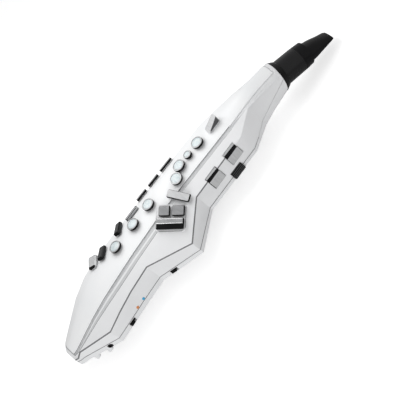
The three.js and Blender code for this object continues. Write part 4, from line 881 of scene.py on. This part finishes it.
# Floor and light
WORLD_STRENGTH = 0.44
FLOOR_SIZE = 6
FLOOR_GREY = 0.85
FLOOR_ROUGHNESS = 0.9
FLOOR_GLOW = 0.53


def math_node(tree, operation, first, second):
    """A node that joins two values, each a socket or a number."""
    node = tree.nodes.new("ShaderNodeMath")
    node.operation = operation
    for place, value in zip(node.inputs, (first, second)):
        if isinstance(value, (int, float)):
            place.default_value = value
        else:
            tree.links.new(value, place)
    return node.outputs[0]


def shown_white(tree, base, plain):
    """Camera, mirror and clear rays see plain white, and all others the base colour."""
    path = tree.nodes.new("ShaderNodeLightPath")
    seen = math_node(tree, "MAXIMUM", path.outputs["Is Camera Ray"],
                     path.outputs["Is Glossy Ray"])
    seen = math_node(tree, "MAXIMUM", seen, path.outputs["Is Transmission Ray"])
    mix = tree.nodes.new("ShaderNodeMixShader")
    tree.links.new(seen, mix.inputs[0])
    tree.links.new(base, mix.inputs[1])
    tree.links.new(plain, mix.inputs[2])
    return mix.outputs[0]


def make_world():
    world = bpy.data.worlds.new("studio")
    bpy.context.scene.world = world
    world.use_nodes = True
    tree = world.node_tree
    dim = tree.nodes["Background"]
    bright = tree.nodes.new("ShaderNodeBackground")
    for background, strength in ((dim, WORLD_STRENGTH), (bright, 1)):
        background.inputs["Color"].default_value = (1, 1, 1, 1)
        background.inputs["Strength"].default_value = strength
    output = tree.nodes["World Output"]
    tree.links.new(shown_white(tree, dim.outputs[0], bright.outputs[0]),
                   output.inputs["Surface"])


def make_floor():
    """A pale floor that glows a little for the camera only."""
    bm = bmesh.new()
    bmesh.ops.create_grid(bm, x_segments=1, y_segments=1, size=FLOOR_SIZE)
    mesh = bpy.data.meshes.new("floor")
    bm.to_mesh(mesh)
    bm.free()
    floor = bpy.data.objects.new("floor", mesh)
    bpy.context.scene.collection.objects.link(floor)
    material = bpy.data.materials.new("pale_floor")
    material.use_nodes = True
    tree = material.node_tree
    shader = tree.nodes["Principled BSDF"]
    shader.inputs["Base Color"].default_value = (FLOOR_GREY, FLOOR_GREY, FLOOR_GREY, 1)
    shader.inputs["Roughness"].default_value = FLOOR_ROUGHNESS
    glow = tree.nodes.new("ShaderNodeEmission")
    glow.inputs["Color"].default_value = (1, 1, 1, 1)
    path = tree.nodes.new("ShaderNodeLightPath")
    strength = math_node(tree, "MULTIPLY", path.outputs["Is Camera Ray"], FLOOR_GLOW)
    tree.links.new(strength, glow.inputs["Strength"])
    both = tree.nodes.new("ShaderNodeAddShader")
    tree.links.new(shader.outputs[0], both.inputs[0])
    tree.links.new(glow.outputs[0], both.inputs[1])
    tree.links.new(both.outputs[0], tree.nodes["Material Output"].inputs["Surface"])
    mesh.materials.append(material)


def soft_light(name, place, size, watts):
    data = bpy.data.lights.new(name, "AREA")
    data.shape = "SQUARE"
    data.size = size
    data.energy = watts
    light = bpy.data.objects.new(name, data)
    light.location = place
    light.rotation_euler = (-Vector(place)).to_track_quat("-Z", "Y").to_euler()
    bpy.context.scene.collection.objects.link(light)


make_world()
make_floor()
soft_light("from_left", (-0.18, 0.01, 0.41), size=0.38, watts=1.24)
soft_light("from_right", (1.6, -1.1, 0.5), size=1.3, watts=18.3)
bpy.context.scene.view_settings.view_transform = "Standard"
